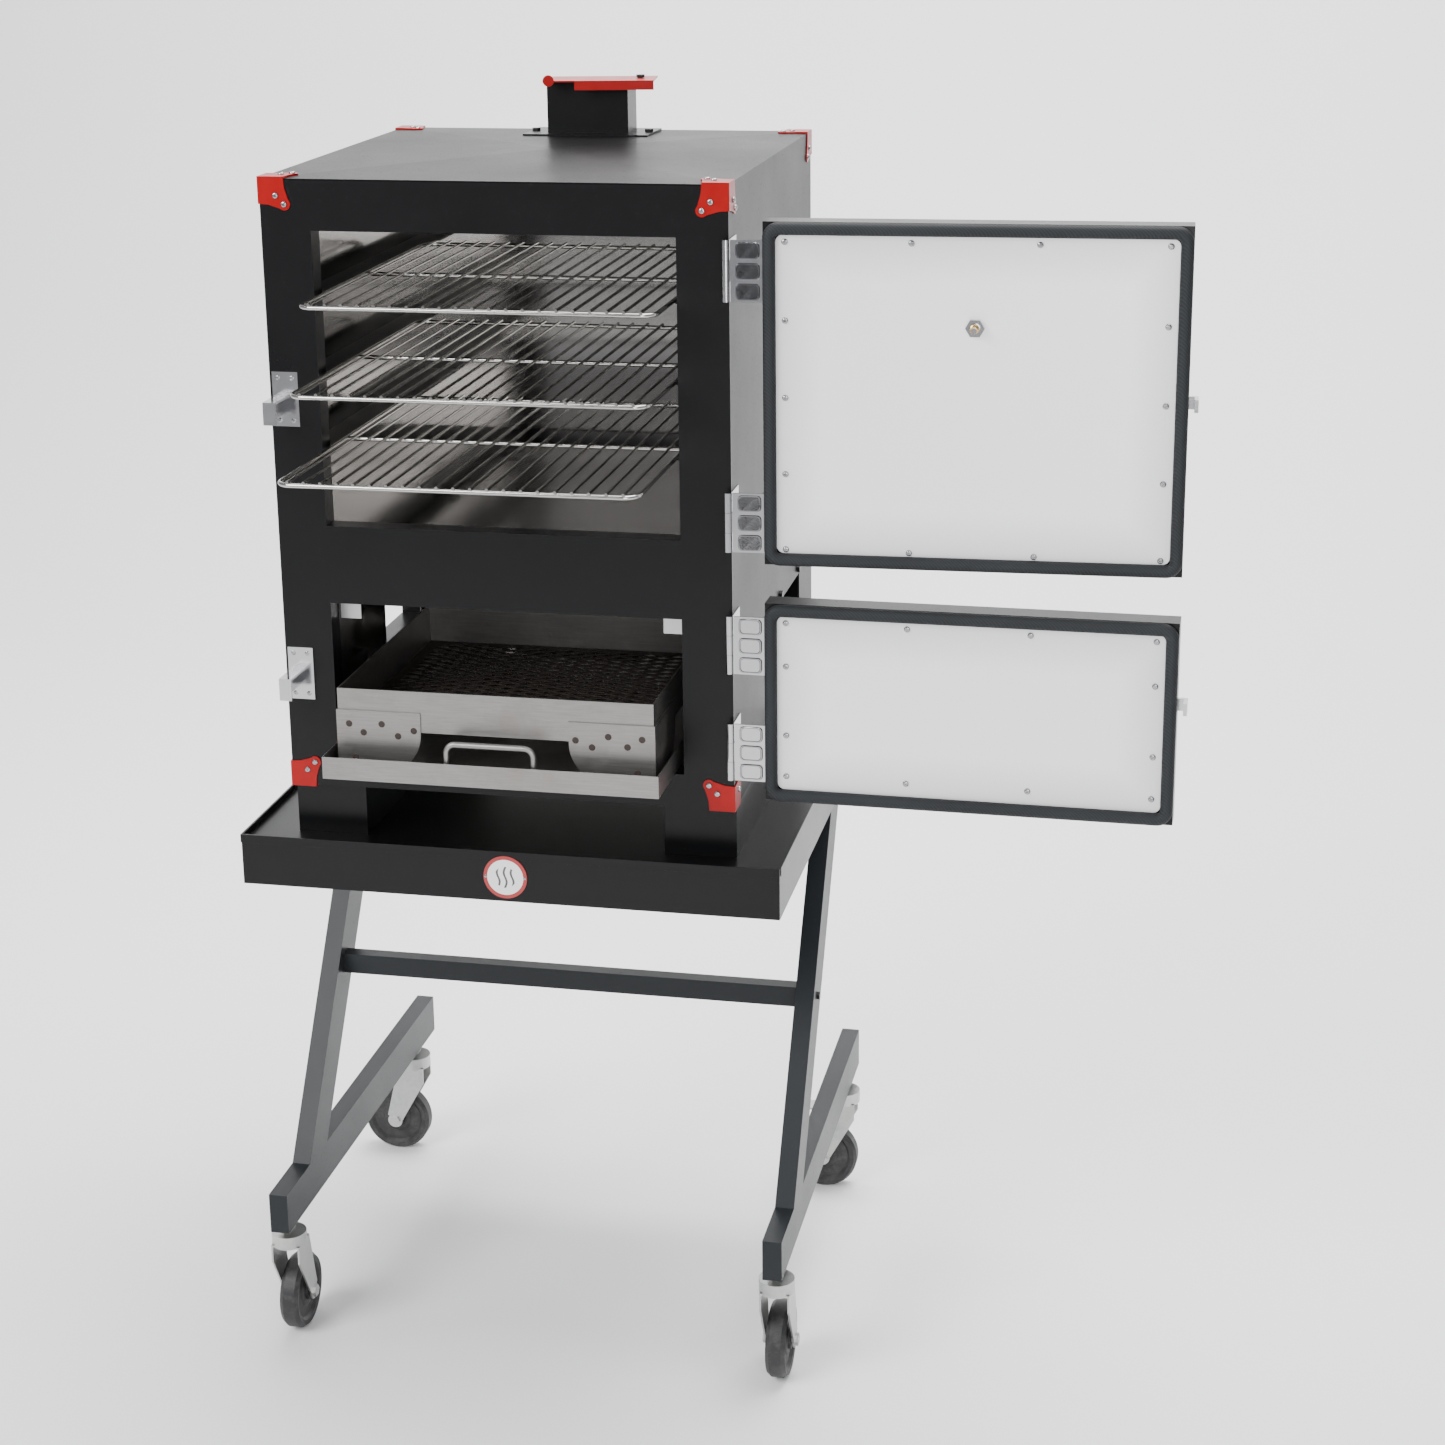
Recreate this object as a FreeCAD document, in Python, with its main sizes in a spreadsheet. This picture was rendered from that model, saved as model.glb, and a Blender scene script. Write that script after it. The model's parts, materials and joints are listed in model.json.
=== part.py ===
import FreeCAD, Part
import os
import re
import Sketcher

# Cabinet smoker on a wheeled cart: a double-walled cabinet with a cooking chamber over a firebox and two
# side-hung doors stands on two skids in a shallow tray, and two raked legs carry the tray on casters.
#
# Cabinet frame: X to the right, Y to the back, Z up, origin at the middle of the cabinet's lower front
# edge. Every node is then moved so that the origin is on the floor, under the middle of the smoker.
# Door frame: origin on the hinge line, X towards the free edge, Y towards the outer face, Z as above.
# Caster frame: origin on the swivel line at the underside of the bar, with the wheel towards -X.

DIMENSIONS = {
    # cabinet
    "cabinet_width": 610, "cabinet_depth": 596, "cabinet_height": 814, "wall_gap": 30,
    "skin_sheet": 1.5, "face_sheet": 3, "return_depth": 27, "crown_rise": 6, "top_sheet": 2,
    # openings in the front frame, measured from the cabinet's lower edge
    "stile_width": 67, "firebox_sill": 45, "firebox_lintel": 257,
    "chamber_sill": 362, "top_rail": 64, "floor_gap": 60,
    # windows through both side walls of the firebox
    "window_length": 165, "window_margin": 76, "window_low": 100, "window_top": 189,
    "window_bolt_inset": 12, "window_bolt_gap": 10,
    # skids under the cabinet
    "skid_width": 98, "skid_rise": 74, "skid_setback": 14, "skid_sheet": 3,
    # corner brackets
    "bracket_leg": 35, "bracket_waist": 14, "bracket_lobe": 8, "bracket_sheet": 1.6,
    "bracket_ease": 1, "bracket_screw_pitch": 11,
    "screw_radius": 4, "screw_head": 2.4, "bolt_radius": 6, "bolt_head": 4,
    # chimney and damper
    "flue_width": 118, "flue_depth": 52, "flue_rise": 79.5, "flue_wall": 2, "flue_inset": 40,
    "flange_width": 182, "flange_depth": 92, "flange_sheet": 4.5, "flange_bolt_inset": 8,
    "damper_gap": 0.5, "damper_sheet": 2, "damper_lip": 13, "damper_open": 8, "damper_front": 40,
    "damper_back": 30, "damper_left": 135, "damper_right": 22, "damper_pin": 3, "lip_start": 90,
    "lug_reach": 24, "ear_radius": 8,
    # wire racks and their runners
    "rack_clear": 6, "rack_back_gap": 18, "rack_wire": 3, "rack_corner": 20, "rod_wire": 2,
    "rod_pitch": 21.3, "rack_home": 8, "rack_low_rise": 103, "rack_middle_rise": 201,
    "rack_high_drop": 83, "rack_low_pull": 208, "rack_middle_pull": 148, "rack_high_pull": 100,
    "runner_ledge": 46, "runner_drop": 18, "runner_sheet": 2, "slide_gap": 0.3,
    # heat deflector over the fire
    "deflector_height": 250, "deflector_flange": 18, "deflector_tab": 28, "tab_drop": 22, "tab_inset": 3,
    # ash pan and charcoal basket
    "pan_clear": 12, "pan_back_gap": 78, "pan_wall": 30, "pan_sheet": 1.5, "pan_home": 8,
    "pan_pull": 105, "handle_span": 117, "handle_wire": 4, "handle_bend": 12, "handle_rise": 28,
    "basket_clear": 13, "basket_back_gap": 45, "basket_wall": 56, "basket_lift": 57,
    "basket_sheet": 2, "basket_setback": 35, "foot_width": 115, "foot_flat": 60, "foot_lap": 27,
    "diamond_long": 40, "diamond_short": 18, "diamond_strand": 3,
    # doors
    "door_inset": 40, "door_shell": 34, "door_skin": 2, "door_rim": 24, "liner_inset": 16,
    "liner_corner": 9, "bead_radius": 8, "bead_proud": 11.7, "bead_corner": 12,
    "upper_door_low": 338, "door_crown": 41, "lower_door_low": 22, "lower_door_high": 287,
    "upper_swing": 2.2, "lower_swing": -0.7, "row_inset": 27.5, "upper_row_rise": 21,
    "lower_row_rise": 34, "row_drop": 3,
    # hinges
    "hinge_inset": 2, "hinge_front": 11, "hinge_reach": 46, "hinge_height": 77,
    "knuckle_radius": 5, "hinge_pin": 2.2, "hinge_sheet": 2.4, "hinge_leaf": 35, "pin_gap": 0.05,
    "upper_hinge_low": 353, "hinge_margin": 100, "lower_hinge_low": 46, "lower_hinge_high": 191,
    # thermometer
    "gauge_reach": 308, "gauge_drop": 127, "gauge_dial": 38, "gauge_depth": 15,
    "gauge_barrel": 6.2, "gauge_nut": 12, "gauge_probe": 3.5, "probe_reach": 25,
    # latches and strikes
    "upper_latch_height": 551, "lower_latch_height": 171, "latch_inset": 22, "latch_grip": 96,
    "latch_bar": 16, "latch_sheet": 5, "latch_nose": 12, "latch_pin": 4, "nose_depth": 20,
    "upper_strike_low": 495, "lower_strike_low": 122, "strike_height": 72, "strike_width": 35,
    "strike_setback": 4, "strike_sheet": 3, "keeper_width": 17, "keeper_reach": 42,
    "strike_hole": 8,
    # tray
    "tray_margin": 66, "tray_front": 35, "tray_lip": 8.4, "tray_apron": 71,
    "tray_sheet": 2, "badge_radius": 30, "badge_sheet": 2, "badge_drop": 36, "rivet_inset": 3,
    # legs and bars
    "tube_width": 27, "bar_height": 59, "tube_wall": 2, "bar_overhang": 25, "bar_front": 24,
    "bar_drop": 614.5, "leg_foot": 72.5, "leg_rake": 0.6727, "leg_depth": 73, "track_inset": 15.5,
    "crossbar_drop": 363, "crossbar_height": 30, "crossbar_depth": 22,
    # casters
    "wheel_radius": 54, "wheel_half": 14, "hub_radius": 14, "hub_half": 15.5, "caster_height": 181,
    "caster_front": 10, "caster_back": 67, "caster_trail": 32, "caster_gap": 14,
    "fork_sheet": 2.6, "fork_clear": 3, "head_radius": 25, "head_depth": 19, "fork_boss": 12,
    "axle_radius": 5, "run_gap": 0.05, "stem_radius": 6, "pedal_pin": 3, "pedal_width": 28,
    "pedal_reach": 46, "pedal_drop": 46, "front_caster_turn": -90, "rear_caster_turn": 0,
}

DERIVED = {
    "half_width": "cabinet_width / 2",
    "opening_width": "cabinet_width - 2 * stile_width",
    "chamber_lintel": "cabinet_height - top_rail",
    "upper_door_high": "cabinet_height - door_crown",
    "upper_hinge_high": "upper_door_high - hinge_margin",
    "gauge_height": "upper_door_high - gauge_drop",
    "flue_top": "cabinet_height + flue_rise",
    "rack_low_height": "chamber_sill + rack_low_rise",
    "rack_middle_height": "chamber_sill + rack_middle_rise",
    "rack_high_height": "chamber_lintel - rack_high_drop",
    "rack_width": "opening_width - 2 * rack_clear",
    "pan_width": "opening_width - 2 * pan_clear",
    "basket_width": "pan_width - 2 * basket_clear",
    "half_opening": "opening_width / 2",
    "half_chamber": "cabinet_width / 2 - wall_gap",
    "chamber_back": "cabinet_depth - wall_gap",
    "chamber_top": "cabinet_height - wall_gap",
    "rack_depth": "chamber_back - rack_home - rack_back_gap",
    "pan_depth": "chamber_back - pan_home - pan_back_gap",
    "basket_depth": "pan_depth - basket_setback - basket_back_gap",
    "window_back": "chamber_back - window_margin",
    "window_front": "window_back - window_length",
    "tray_width": "cabinet_width + 2 * tray_margin",
    "tray_depth": "cabinet_depth + 2 * tray_front",
    "bar_length": "tray_depth + bar_overhang",
    "track_half": "tray_width / 2 - track_inset",
    "caster_rear": "bar_length - bar_front - caster_back",
    "seat_height": "cabinet_height + top_sheet",
    "liner_start": "face_sheet + return_depth",
    "flue_back": "cabinet_depth - flue_inset",
    "flue_front": "cabinet_depth - flue_inset - flue_depth",
    "damper_x": "flue_width / 2 + lug_reach / 2 + 1",
    "damper_y": "cabinet_depth - flue_inset - flue_depth / 2",
    "deck_height": "0 - skid_rise",
    "rim_height": "tray_lip - skid_rise",
    "hinge_x": "cabinet_width / 2 - hinge_inset",
    "hinge_y": "0 - hinge_front",
    "door_width": "hinge_x - hinge_reach + half_width - door_inset",
    "rim_plane": "bead_proud + slide_gap - hinge_front",
    "shell_back": "bead_proud + slide_gap - hinge_front + door_shell",
    "free_edge": "hinge_reach + door_width",
    "cheek_inner": "hub_half + fork_clear",
    "axle_drop": "caster_height - wheel_radius",
    "track_inner": "track_half - tube_width / 2",
    "track_outer": "track_half + tube_width / 2",
    "smoker_right": "hinge_x + (free_edge + latch_nose) * cos(lower_swing * 1 deg)"
                    " - (shell_back + slide_gap + latch_sheet) * sin(lower_swing * 1 deg)",
    "smoker_left": "track_half + caster_trail + wheel_radius",
    "smoker_front": "rack_low_pull - rack_home",
    "smoker_back": "bar_length - bar_front",
    "origin_x": "(smoker_left - smoker_right) / 2",
    "origin_y": "(smoker_front - smoker_back) / 2",
    "origin_z": "bar_drop + bar_height + caster_height",
}

SIDES = {"left": -1, "right": 1}
DOORS = ("upper", "lower")
RACKS = ("low", "middle", "high")
ROD_COUNT = 21
DIAGONAL = 0.7071
CASTERS = {
    "front_left": (-1, "front"), "front_right": (1, "front"),
    "rear_left": (-1, "rear"), "rear_right": (1, "rear"),
}
TURNS = {
    "x": FreeCAD.Rotation(FreeCAD.Vector(0, 1, 0), 90),
    "y": FreeCAD.Rotation(FreeCAD.Vector(1, 0, 0), -90),
    "z": FreeCAD.Rotation(),
}
SHEET_WORD = re.compile(r"(?<![\w.])[a-z]+(?:_[a-z]+)+")

doc = FreeCAD.newDocument("CabinetSmoker")
sheet = doc.addObject("Spreadsheet::Sheet", "Dims")
probe = doc.addObject("App::FeaturePython", "Probe")
probe.addProperty("App::PropertyFloat", "Reading")
nodes = []


# ---------------------------------------------------------------- document helpers

def words(text):
    """An expression in the sheet's words, as the document reads it."""
    return SHEET_WORD.sub(lambda word: "Dims." + word.group(0), str(text))


def bind(thing, prop, text):
    thing.setExpression(prop, words(text))


def value(text):
    """The present value of an expression."""
    bind(probe, "Reading", text)
    probe.recompute()
    return probe.Reading


def fill_sheet():
    """Driving sizes as plain numbers, then the sizes that follow from them as formulas."""
    rows = list(DIMENSIONS.items())
    rows += [(alias, "=" + text) for alias, text in DERIVED.items()]
    for row, (alias, content) in enumerate(rows, start=1):
        sheet.set(f"A{row}", alias)
        sheet.set(f"B{row}", str(content))
        sheet.setAlias(f"B{row}", alias)
    doc.recompute()


def put(thing, corner):
    for axis, text in zip("xyz", corner):
        bind(thing, "Placement.Base." + axis, text)
    return thing


def mirrored(side, inner, outer):
    """The low and high end of a span that is measured outwards from the middle plane."""
    if side > 0:
        return (inner, outer)
    return (f"0 - ({outer})", f"0 - ({inner})")


def centred(half):
    return (f"0 - ({half})", half)


def block(name, x_span, y_span, z_span):
    """A box given by its low and high ends."""
    thing = doc.addObject("Part::Box", name)
    for prop, span in zip(("Length", "Width", "Height"), (x_span, y_span, z_span)):
        bind(thing, prop, f"({span[1]}) - ({span[0]})")
    return put(thing, (x_span[0], y_span[0], z_span[0]))


def rod(name, axis, start, length, radius):
    """A cylinder from a start point along an axis."""
    thing = doc.addObject("Part::Cylinder", name)
    bind(thing, "Radius", radius)
    bind(thing, "Height", length)
    thing.Placement = FreeCAD.Placement(FreeCAD.Vector(), TURNS[axis])
    return put(thing, start)


def hexagon(name, axis, start, length, radius):
    """A hexagonal prism, as the head of a bolt or a nut."""
    thing = doc.addObject("Part::Prism", name)
    thing.Polygon = 6
    bind(thing, "Circumradius", radius)
    bind(thing, "Height", length)
    thing.Placement = FreeCAD.Placement(FreeCAD.Vector(), TURNS[axis])
    return put(thing, start)


def elbow(name, centre, bend, wire, turn):
    """A quarter of a torus in the XY plane of its own turn."""
    thing = doc.addObject("Part::Torus", name)
    bind(thing, "Radius1", bend)
    bind(thing, "Radius2", wire)
    thing.Angle3 = 90
    thing.Placement = FreeCAD.Placement(FreeCAD.Vector(), turn)
    return put(thing, centre)


def about_z(angle):
    return FreeCAD.Rotation(FreeCAD.Vector(0, 0, 1), angle)


def cut(name, base, *tools):
    thing = doc.addObject("Part::Cut", name)
    thing.Base = base
    thing.Tool = tools[0] if len(tools) == 1 else fuse(name + "_tools", tools)
    return thing


def fuse(name, shapes):
    thing = doc.addObject("Part::MultiFuse", name)
    thing.Shapes = list(shapes)
    return thing


def group(name, shapes):
    """Separate solids that share one node."""
    thing = doc.addObject("Part::Compound", name)
    thing.Links = list(shapes)
    return thing


def mirror(name, source, normal, base=("0", "0", "0")):
    thing = doc.addObject("Part::Mirroring", name)
    thing.Source = source
    thing.Normal = FreeCAD.Vector(*normal)
    for axis, text in zip("xyz", base):
        bind(thing, "Base." + axis, text)
    return thing


def both_sides(name, source, normal, base=("0", "0", "0")):
    return group(name, [source, mirror(name + "_mirror", source, normal, base)])


def node(thing, label, place=("0", "0", "0"), turn=None):
    """Name a finished piece and put it where it stands in the smoker."""
    thing.Label = label
    put(thing, [f"origin_{axis} + ({text})" for axis, text in zip("xyz", place)])
    if turn is not None:
        thing.Placement.Rotation = FreeCAD.Rotation(FreeCAD.Vector(0, 0, 1), 1)
        bind(thing, "Placement.Rotation.Angle", turn)
    nodes.append(thing)
    return thing


def plane_of(body, role):
    return next(item for item in body.Origin.OriginFeatures if item.Role == role)


def sketch_on(body, name, role, level, outlines):
    """A sketch of closed outlines, each vertex held by two driven distances from the origin."""
    sketch = body.newObject("Sketcher::SketchObject", name)
    sketch.AttachmentSupport = [(plane_of(body, role), "")]
    sketch.MapMode = "FlatFace"
    bind(sketch, "AttachmentOffset.Base.z", level)
    for outline in outlines:
        points = [FreeCAD.Vector(value(across), value(along), 0) for across, along in outline]
        first = sketch.GeometryCount
        count = len(points)
        for index, point in enumerate(points):
            sketch.addGeometry(Part.LineSegment(point, points[(index + 1) % count]), False)
        for index in range(count):
            after = first + (index + 1) % count
            sketch.addConstraint(Sketcher.Constraint("Coincident", first + index, 2, after, 1))
        for index, (pair, point) in enumerate(zip(outline, points)):
            for kind, text, here in zip(("DistanceX", "DistanceY"), pair, point):
                rule = Sketcher.Constraint(kind, -1, 1, first + index, 1, here)
                bind(sketch, f"Constraints[{sketch.addConstraint(rule)}]", text)
    return sketch


def prism(name, role, span, outlines):
    """A body padded from one sketch, between two levels along the axis across the sketch."""
    body = doc.addObject("PartDesign::Body", name)
    low, high = span
    across_y = role == "XZ_Plane"
    level = f"0 - ({low})" if across_y else low
    sketch = sketch_on(body, name + "_sketch", role, level, outlines)
    pad = body.newObject("PartDesign::Pad", name + "_pad")
    pad.Profile = sketch
    bind(pad, "Length", f"({high}) - ({low})")
    pad.Reversed = across_y
    return body


def rectangle(across, along):
    return [(across[0], along[0]), (across[1], along[0]), (across[1], along[1]), (across[0], along[1])]


def round_upright_edges(body, direction, radius):
    """Fillet the straight edges of a body that run along a direction."""
    doc.recompute()
    tip = body.Tip
    names = []
    for index, edge in enumerate(tip.Shape.Edges, start=1):
        run = edge.tangentAt(edge.FirstParameter)
        if abs(run.dot(FreeCAD.Vector(*direction))) > 1 - 1e-6:
            names.append(f"Edge{index}")
    fillet = body.newObject("PartDesign::Fillet", body.Name + "_fillet")
    fillet.Base = (tip, names)
    bind(fillet, "Radius", radius)
    return body


# ---------------------------------------------------------------- cabinet

def window_outline():
    return rectangle(("window_front", "window_back"), ("window_low", "window_top"))


def make_walls():
    """Outer skins, inner liners and the insulation between them."""
    for side_name, side in SIDES.items():
        outline = rectangle(("face_sheet", "cabinet_depth"), ("0", "cabinet_height"))
        span = mirrored(side, "half_width - skin_sheet", "half_width")
        node(prism(side_name + "_skin_body", "YZ_Plane", span, [outline, window_outline()]),
             side_name + "_skin")
        outline = rectangle(("liner_start", "chamber_back"), ("firebox_sill", "chamber_top"))
        span = mirrored(side, "half_chamber", "half_chamber + skin_sheet")
        node(prism(side_name + "_liner_body", "YZ_Plane", span, [outline, window_outline()]),
             side_name + "_liner")
    inner = centred("half_width - skin_sheet")
    node(prism("back_skin_body", "XZ_Plane", ("cabinet_depth - skin_sheet", "cabinet_depth"),
               [rectangle(inner, ("0", "cabinet_height"))]), "back_skin")
    liner = centred("half_chamber + skin_sheet")
    node(prism("back_liner_body", "XZ_Plane", ("chamber_back", "chamber_back + skin_sheet"),
               [rectangle(liner, ("firebox_sill", "chamber_top"))]), "back_liner")
    flue_hole = rectangle(centred("flue_width / 2"), ("flue_front", "flue_back"))
    node(prism("ceiling_liner_body", "XY_Plane", ("chamber_top", "chamber_top + skin_sheet"),
               [rectangle(liner, ("liner_start", "chamber_back + skin_sheet")), flue_hole]),
         "ceiling_liner")
    node(prism("firebox_floor_body", "XY_Plane", ("firebox_sill - skin_sheet", "firebox_sill"),
               [rectangle(liner, ("liner_start", "chamber_back + skin_sheet"))]), "firebox_floor")
    node(prism("chamber_floor_body", "XY_Plane", ("chamber_sill - face_sheet", "chamber_sill"),
               [rectangle(centred("half_chamber"), ("liner_start", "chamber_back - floor_gap"))]),
         "chamber_floor")


def make_insulation():
    outer = block("insulation_outer", inner_span(), ("liner_start", "cabinet_depth - skin_sheet"),
                  ("0", "cabinet_height"))
    core = block("insulation_core", centred("half_chamber + skin_sheet"),
                 ("liner_start", "chamber_back + skin_sheet"),
                 ("firebox_sill - skin_sheet", "chamber_top + skin_sheet"))
    window = block("insulation_window", centred("half_width"), ("window_front", "window_back"),
                   ("window_low", "window_top"))
    flue = block("insulation_flue", centred("flue_width / 2"), ("flue_front", "flue_back"),
                 ("chamber_top", "cabinet_height"))
    node(cut("insulation_cut", outer, core, window, flue), "wall_insulation")


def inner_span():
    return centred("half_width - skin_sheet")


def make_front_frame():
    """Front plate with two openings, each edged by a shallow return."""
    plate = block("frame_plate", centred("half_width"), ("0", "face_sheet"), ("0", "cabinet_height"))
    pieces = [plate]
    openings = []
    for sill, lintel in (("firebox_sill", "firebox_lintel"), ("chamber_sill", "chamber_lintel")):
        pieces.append(block("frame_return", centred("half_opening + skin_sheet"),
                            ("0", "liner_start"), (f"{sill} - skin_sheet", f"{lintel} + skin_sheet")))
        openings.append(block("frame_opening", centred("half_opening"), ("0", "liner_start"),
                              (sill, lintel)))
    node(cut("frame_cut", fuse("frame_fuse", pieces), *openings), "front_frame")


def make_top_panel():
    """Cross-broken sheet: four shallow facets that rise to the middle, pierced by the flue."""
    plate = block("top_plate", centred("half_width"), ("0", "cabinet_depth"),
                  ("cabinet_height", "seat_height"))
    crown = doc.addObject("Part::Wedge", "top_crown")
    for prop, text in {
        "Xmin": "0 - half_width", "Xmax": "half_width", "Zmin": "0 - cabinet_depth", "Zmax": "0",
        "Ymin": "0", "Ymax": "crown_rise", "X2min": "0 - skin_sheet", "X2max": "skin_sheet",
        "Z2min": "0 - cabinet_depth / 2 - skin_sheet", "Z2max": "skin_sheet - cabinet_depth / 2",
    }.items():
        bind(crown, prop, text)
    crown.Placement = FreeCAD.Placement(FreeCAD.Vector(), FreeCAD.Rotation(FreeCAD.Vector(1, 0, 0), 90))
    put(crown, ("0", "0", "seat_height"))
    hole = block("top_flue_hole", centred("flue_width / 2"), ("flue_front", "flue_back"),
                 ("cabinet_height", "seat_height + crown_rise"))
    panel = cut("top_cut", fuse("top_fuse", [plate, crown]), hole)
    node(group("top_seated", [panel]), "top_panel")
    return panel


def make_brackets(top_panel, skids):
    """Folded corner brackets: three flaps, each a square with a round-ended lobe held by two screws."""
    leg, waist, lobe = "bracket_leg", "bracket_waist", "bracket_lobe"
    tip = f"{leg} + {DIAGONAL} * {lobe}"
    shoulder = f"{leg} - {DIAGONAL} * {lobe}"
    flap = [("0", "0"), (leg, "0"), (f"{leg} + bracket_ease", waist), (tip, shoulder), (shoulder, tip),
            (waist, f"{leg} + bracket_ease"), ("0", leg)]
    high = "seat_height + bracket_sheet + bracket_ease"
    outside = "half_width + bracket_sheet"
    front = prism("flap_front", "XZ_Plane", ("0 - bracket_sheet", "0"),
                  [[(f"{outside} - ({a})", f"{high} - ({b})") for a, b in flap]])
    side = prism("flap_side", "YZ_Plane", ("half_width", outside),
                 [[(f"({a}) - bracket_sheet", f"{high} - ({b})") for a, b in flap]])
    top = prism("flap_top", "XY_Plane", ("seat_height", high),
                [[(f"{outside} - ({a})", f"({b}) - bracket_sheet") for a, b in flap]])
    lobes = [
        rod("lobe_front", "y", (f"{outside} - {leg}", "0 - bracket_sheet", f"{high} - {leg}"),
            "bracket_sheet", lobe),
        rod("lobe_side", "x", ("half_width", f"{leg} - bracket_sheet", f"{high} - {leg}"),
            "bracket_sheet", lobe),
        rod("lobe_top", "z", (f"{outside} - {leg}", f"{leg} - bracket_sheet", "seat_height"),
            "bracket_sheet + bracket_ease", lobe),
    ]
    upper = fuse("bracket_upper", [front, side, top] + lobes)
    lower = mirror("bracket_lower", upper, (0, 0, 1), ("0", "0", "seat_height / 2"))
    right = group("bracket_right", [upper, lower])
    back = mirror("bracket_back", right, (0, 1, 0), ("0", "cabinet_depth / 2", "0"))
    half = group("bracket_half", [right, back])
    whole = both_sides("bracket_whole", half, (1, 0, 0))
    node(cut("bracket_cut", whole, top_panel, skids), "corner_brackets")


def bracket_screws():
    """Two pan heads on each lobe of the front, side and top flaps."""
    high = "seat_height + bracket_sheet + bracket_ease"
    outside = "half_width + bracket_sheet"
    heads = []
    upper = []
    for step in ("bracket_leg", "bracket_leg - bracket_screw_pitch"):
        heads.append(rod("bracket_screw", "y", (f"{outside} - ({step})", "0 - bracket_sheet - screw_head",
                                                f"{high} - ({step})"), "screw_head", "screw_radius"))
        heads.append(rod("bracket_screw", "x", (outside, f"{step} - bracket_sheet", f"{high} - ({step})"),
                         "screw_head", "screw_radius"))
        upper.append(rod("bracket_screw", "z", (f"{outside} - ({step})", f"{step} - bracket_sheet", high),
                         "screw_head", "screw_radius"))
    heads = group("bracket_heads", heads)
    lower = mirror("bracket_heads_low", heads, (0, 0, 1), ("0", "0", "seat_height / 2"))
    right = group("bracket_heads_right", [heads, lower] + upper)
    back = mirror("bracket_heads_back", right, (0, 1, 0), ("0", "cabinet_depth / 2", "0"))
    half = group("bracket_heads_half", [right, back])
    return both_sides("bracket_heads_all", half, (1, 0, 0))


def make_skids():
    """Two folded channels, open below, closed at both ends."""
    span = mirrored(1, "half_width - skid_width", "half_width")
    along = ("skid_setback", "cabinet_depth - skid_setback")
    outer = block("skid_outer", span, along, ("deck_height", "0"))
    inner = block("skid_inner", [f"{span[0]} + skid_sheet", f"{span[1]} - skid_sheet"],
                  (f"{along[0]} + skid_sheet", f"{along[1]} - skid_sheet"),
                  ("deck_height", "0 - skid_sheet"))
    pair = both_sides("skid_pair", cut("skid_cut", outer, inner), (1, 0, 0))
    return pair


# ---------------------------------------------------------------- chimney and damper

def make_chimney(top_panel):
    """Rectangular flue through the roof, its welded flange and the lug that carries the damper."""
    outer = block("flue_outer", centred("flue_width / 2"), ("flue_front", "flue_back"),
                  ("chamber_top", "flue_top"))
    flange = block("flue_flange", centred("flange_width / 2"),
                   ("damper_y - flange_depth / 2", "damper_y + flange_depth / 2"),
                   ("seat_height", "seat_height + flange_sheet"))
    lug = block("flue_lug", ("flue_width / 2 - flue_wall", "flue_width / 2 + lug_reach"),
                ("damper_y - bolt_radius", "damper_y + bolt_radius"), ("flue_top - flue_wall", "flue_top"))
    bore = block("flue_bore", centred("flue_width / 2 - flue_wall"),
                 ("flue_front + flue_wall", "flue_back - flue_wall"), ("chamber_top", "flue_top"))
    seated = cut("flange_seat", flange, top_panel)
    node(cut("flue_cut", fuse("flue_fuse", [outer, seated, lug]), bore), "chimney")


def make_damper():
    """Sliding lid that turns on a screw beside the flue, with a folded lip and a finger tab."""
    low = "flue_top + damper_gap"
    plate = block("damper_plate_box", ("0 - damper_left", "damper_right"), ("0 - damper_front", "damper_back"),
                  (low, f"{low} + damper_sheet"))
    lip = block("damper_lip_box", ("0 - lip_start", "damper_right"),
                ("0 - damper_front - damper_sheet", "0 - damper_front"),
                (f"{low} + damper_sheet - damper_lip", f"{low} + damper_sheet"))
    ear = rod("damper_ear", "y", ("ear_radius - damper_left", "0 - damper_front", f"{low} + damper_sheet"),
              "damper_sheet", "ear_radius")
    hole = rod("damper_hole", "z", ("0", "0", low), "damper_sheet", "damper_pin + run_gap")
    lid = cut("damper_cut", fuse("damper_fuse", [plate, lip, ear]), hole)
    node(lid, "damper_plate", ("damper_x", "damper_y", "0"), "damper_open")


def make_hex_bolts():
    """Damper screw and the hexagon bolts of the flange, the windows and the crossbar."""
    low = "flue_top"
    bolts = [
        rod("damper_screw", "z", ("damper_x", "damper_y", low), "damper_gap * 2 + damper_sheet", "damper_pin"),
        hexagon("damper_screw_head", "z",
                ("damper_x", "damper_y", f"{low} + damper_gap * 2 + damper_sheet"), "bolt_head", "bolt_radius"),
    ]
    bolts = [fuse("damper_screw_whole", bolts)]
    for side in SIDES.values():
        bolts.append(hexagon("flange_bolt", "z", (f"{side} * (flange_width / 2 - flange_bolt_inset)", "damper_y",
                                                  "seat_height + flange_sheet"), "bolt_head", "bolt_radius"))
        start = "half_width" if side > 0 else "0 - half_width - bolt_head"
        for along in ("window_front + window_bolt_inset", "window_back - window_bolt_inset"):
            for up in ("window_low - window_bolt_gap", "window_top + window_bolt_gap"):
                bolts.append(hexagon("window_bolt", "x", (start, along, up), "bolt_head", "bolt_radius"))
        start = "track_outer" if side > 0 else "0 - track_outer - bolt_head"
        bolts.append(hexagon("crossbar_bolt", "x", (start, crossbar_middle(),
                                                    "0 - crossbar_drop - crossbar_height / 2"),
                             "bolt_head", "bolt_radius"))
    node(group("hex_bolt_group", bolts), "hex_bolts")


def crossbar_middle():
    return leg_front("0 - crossbar_drop - crossbar_height / 2") + " + leg_depth / 2"


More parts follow.
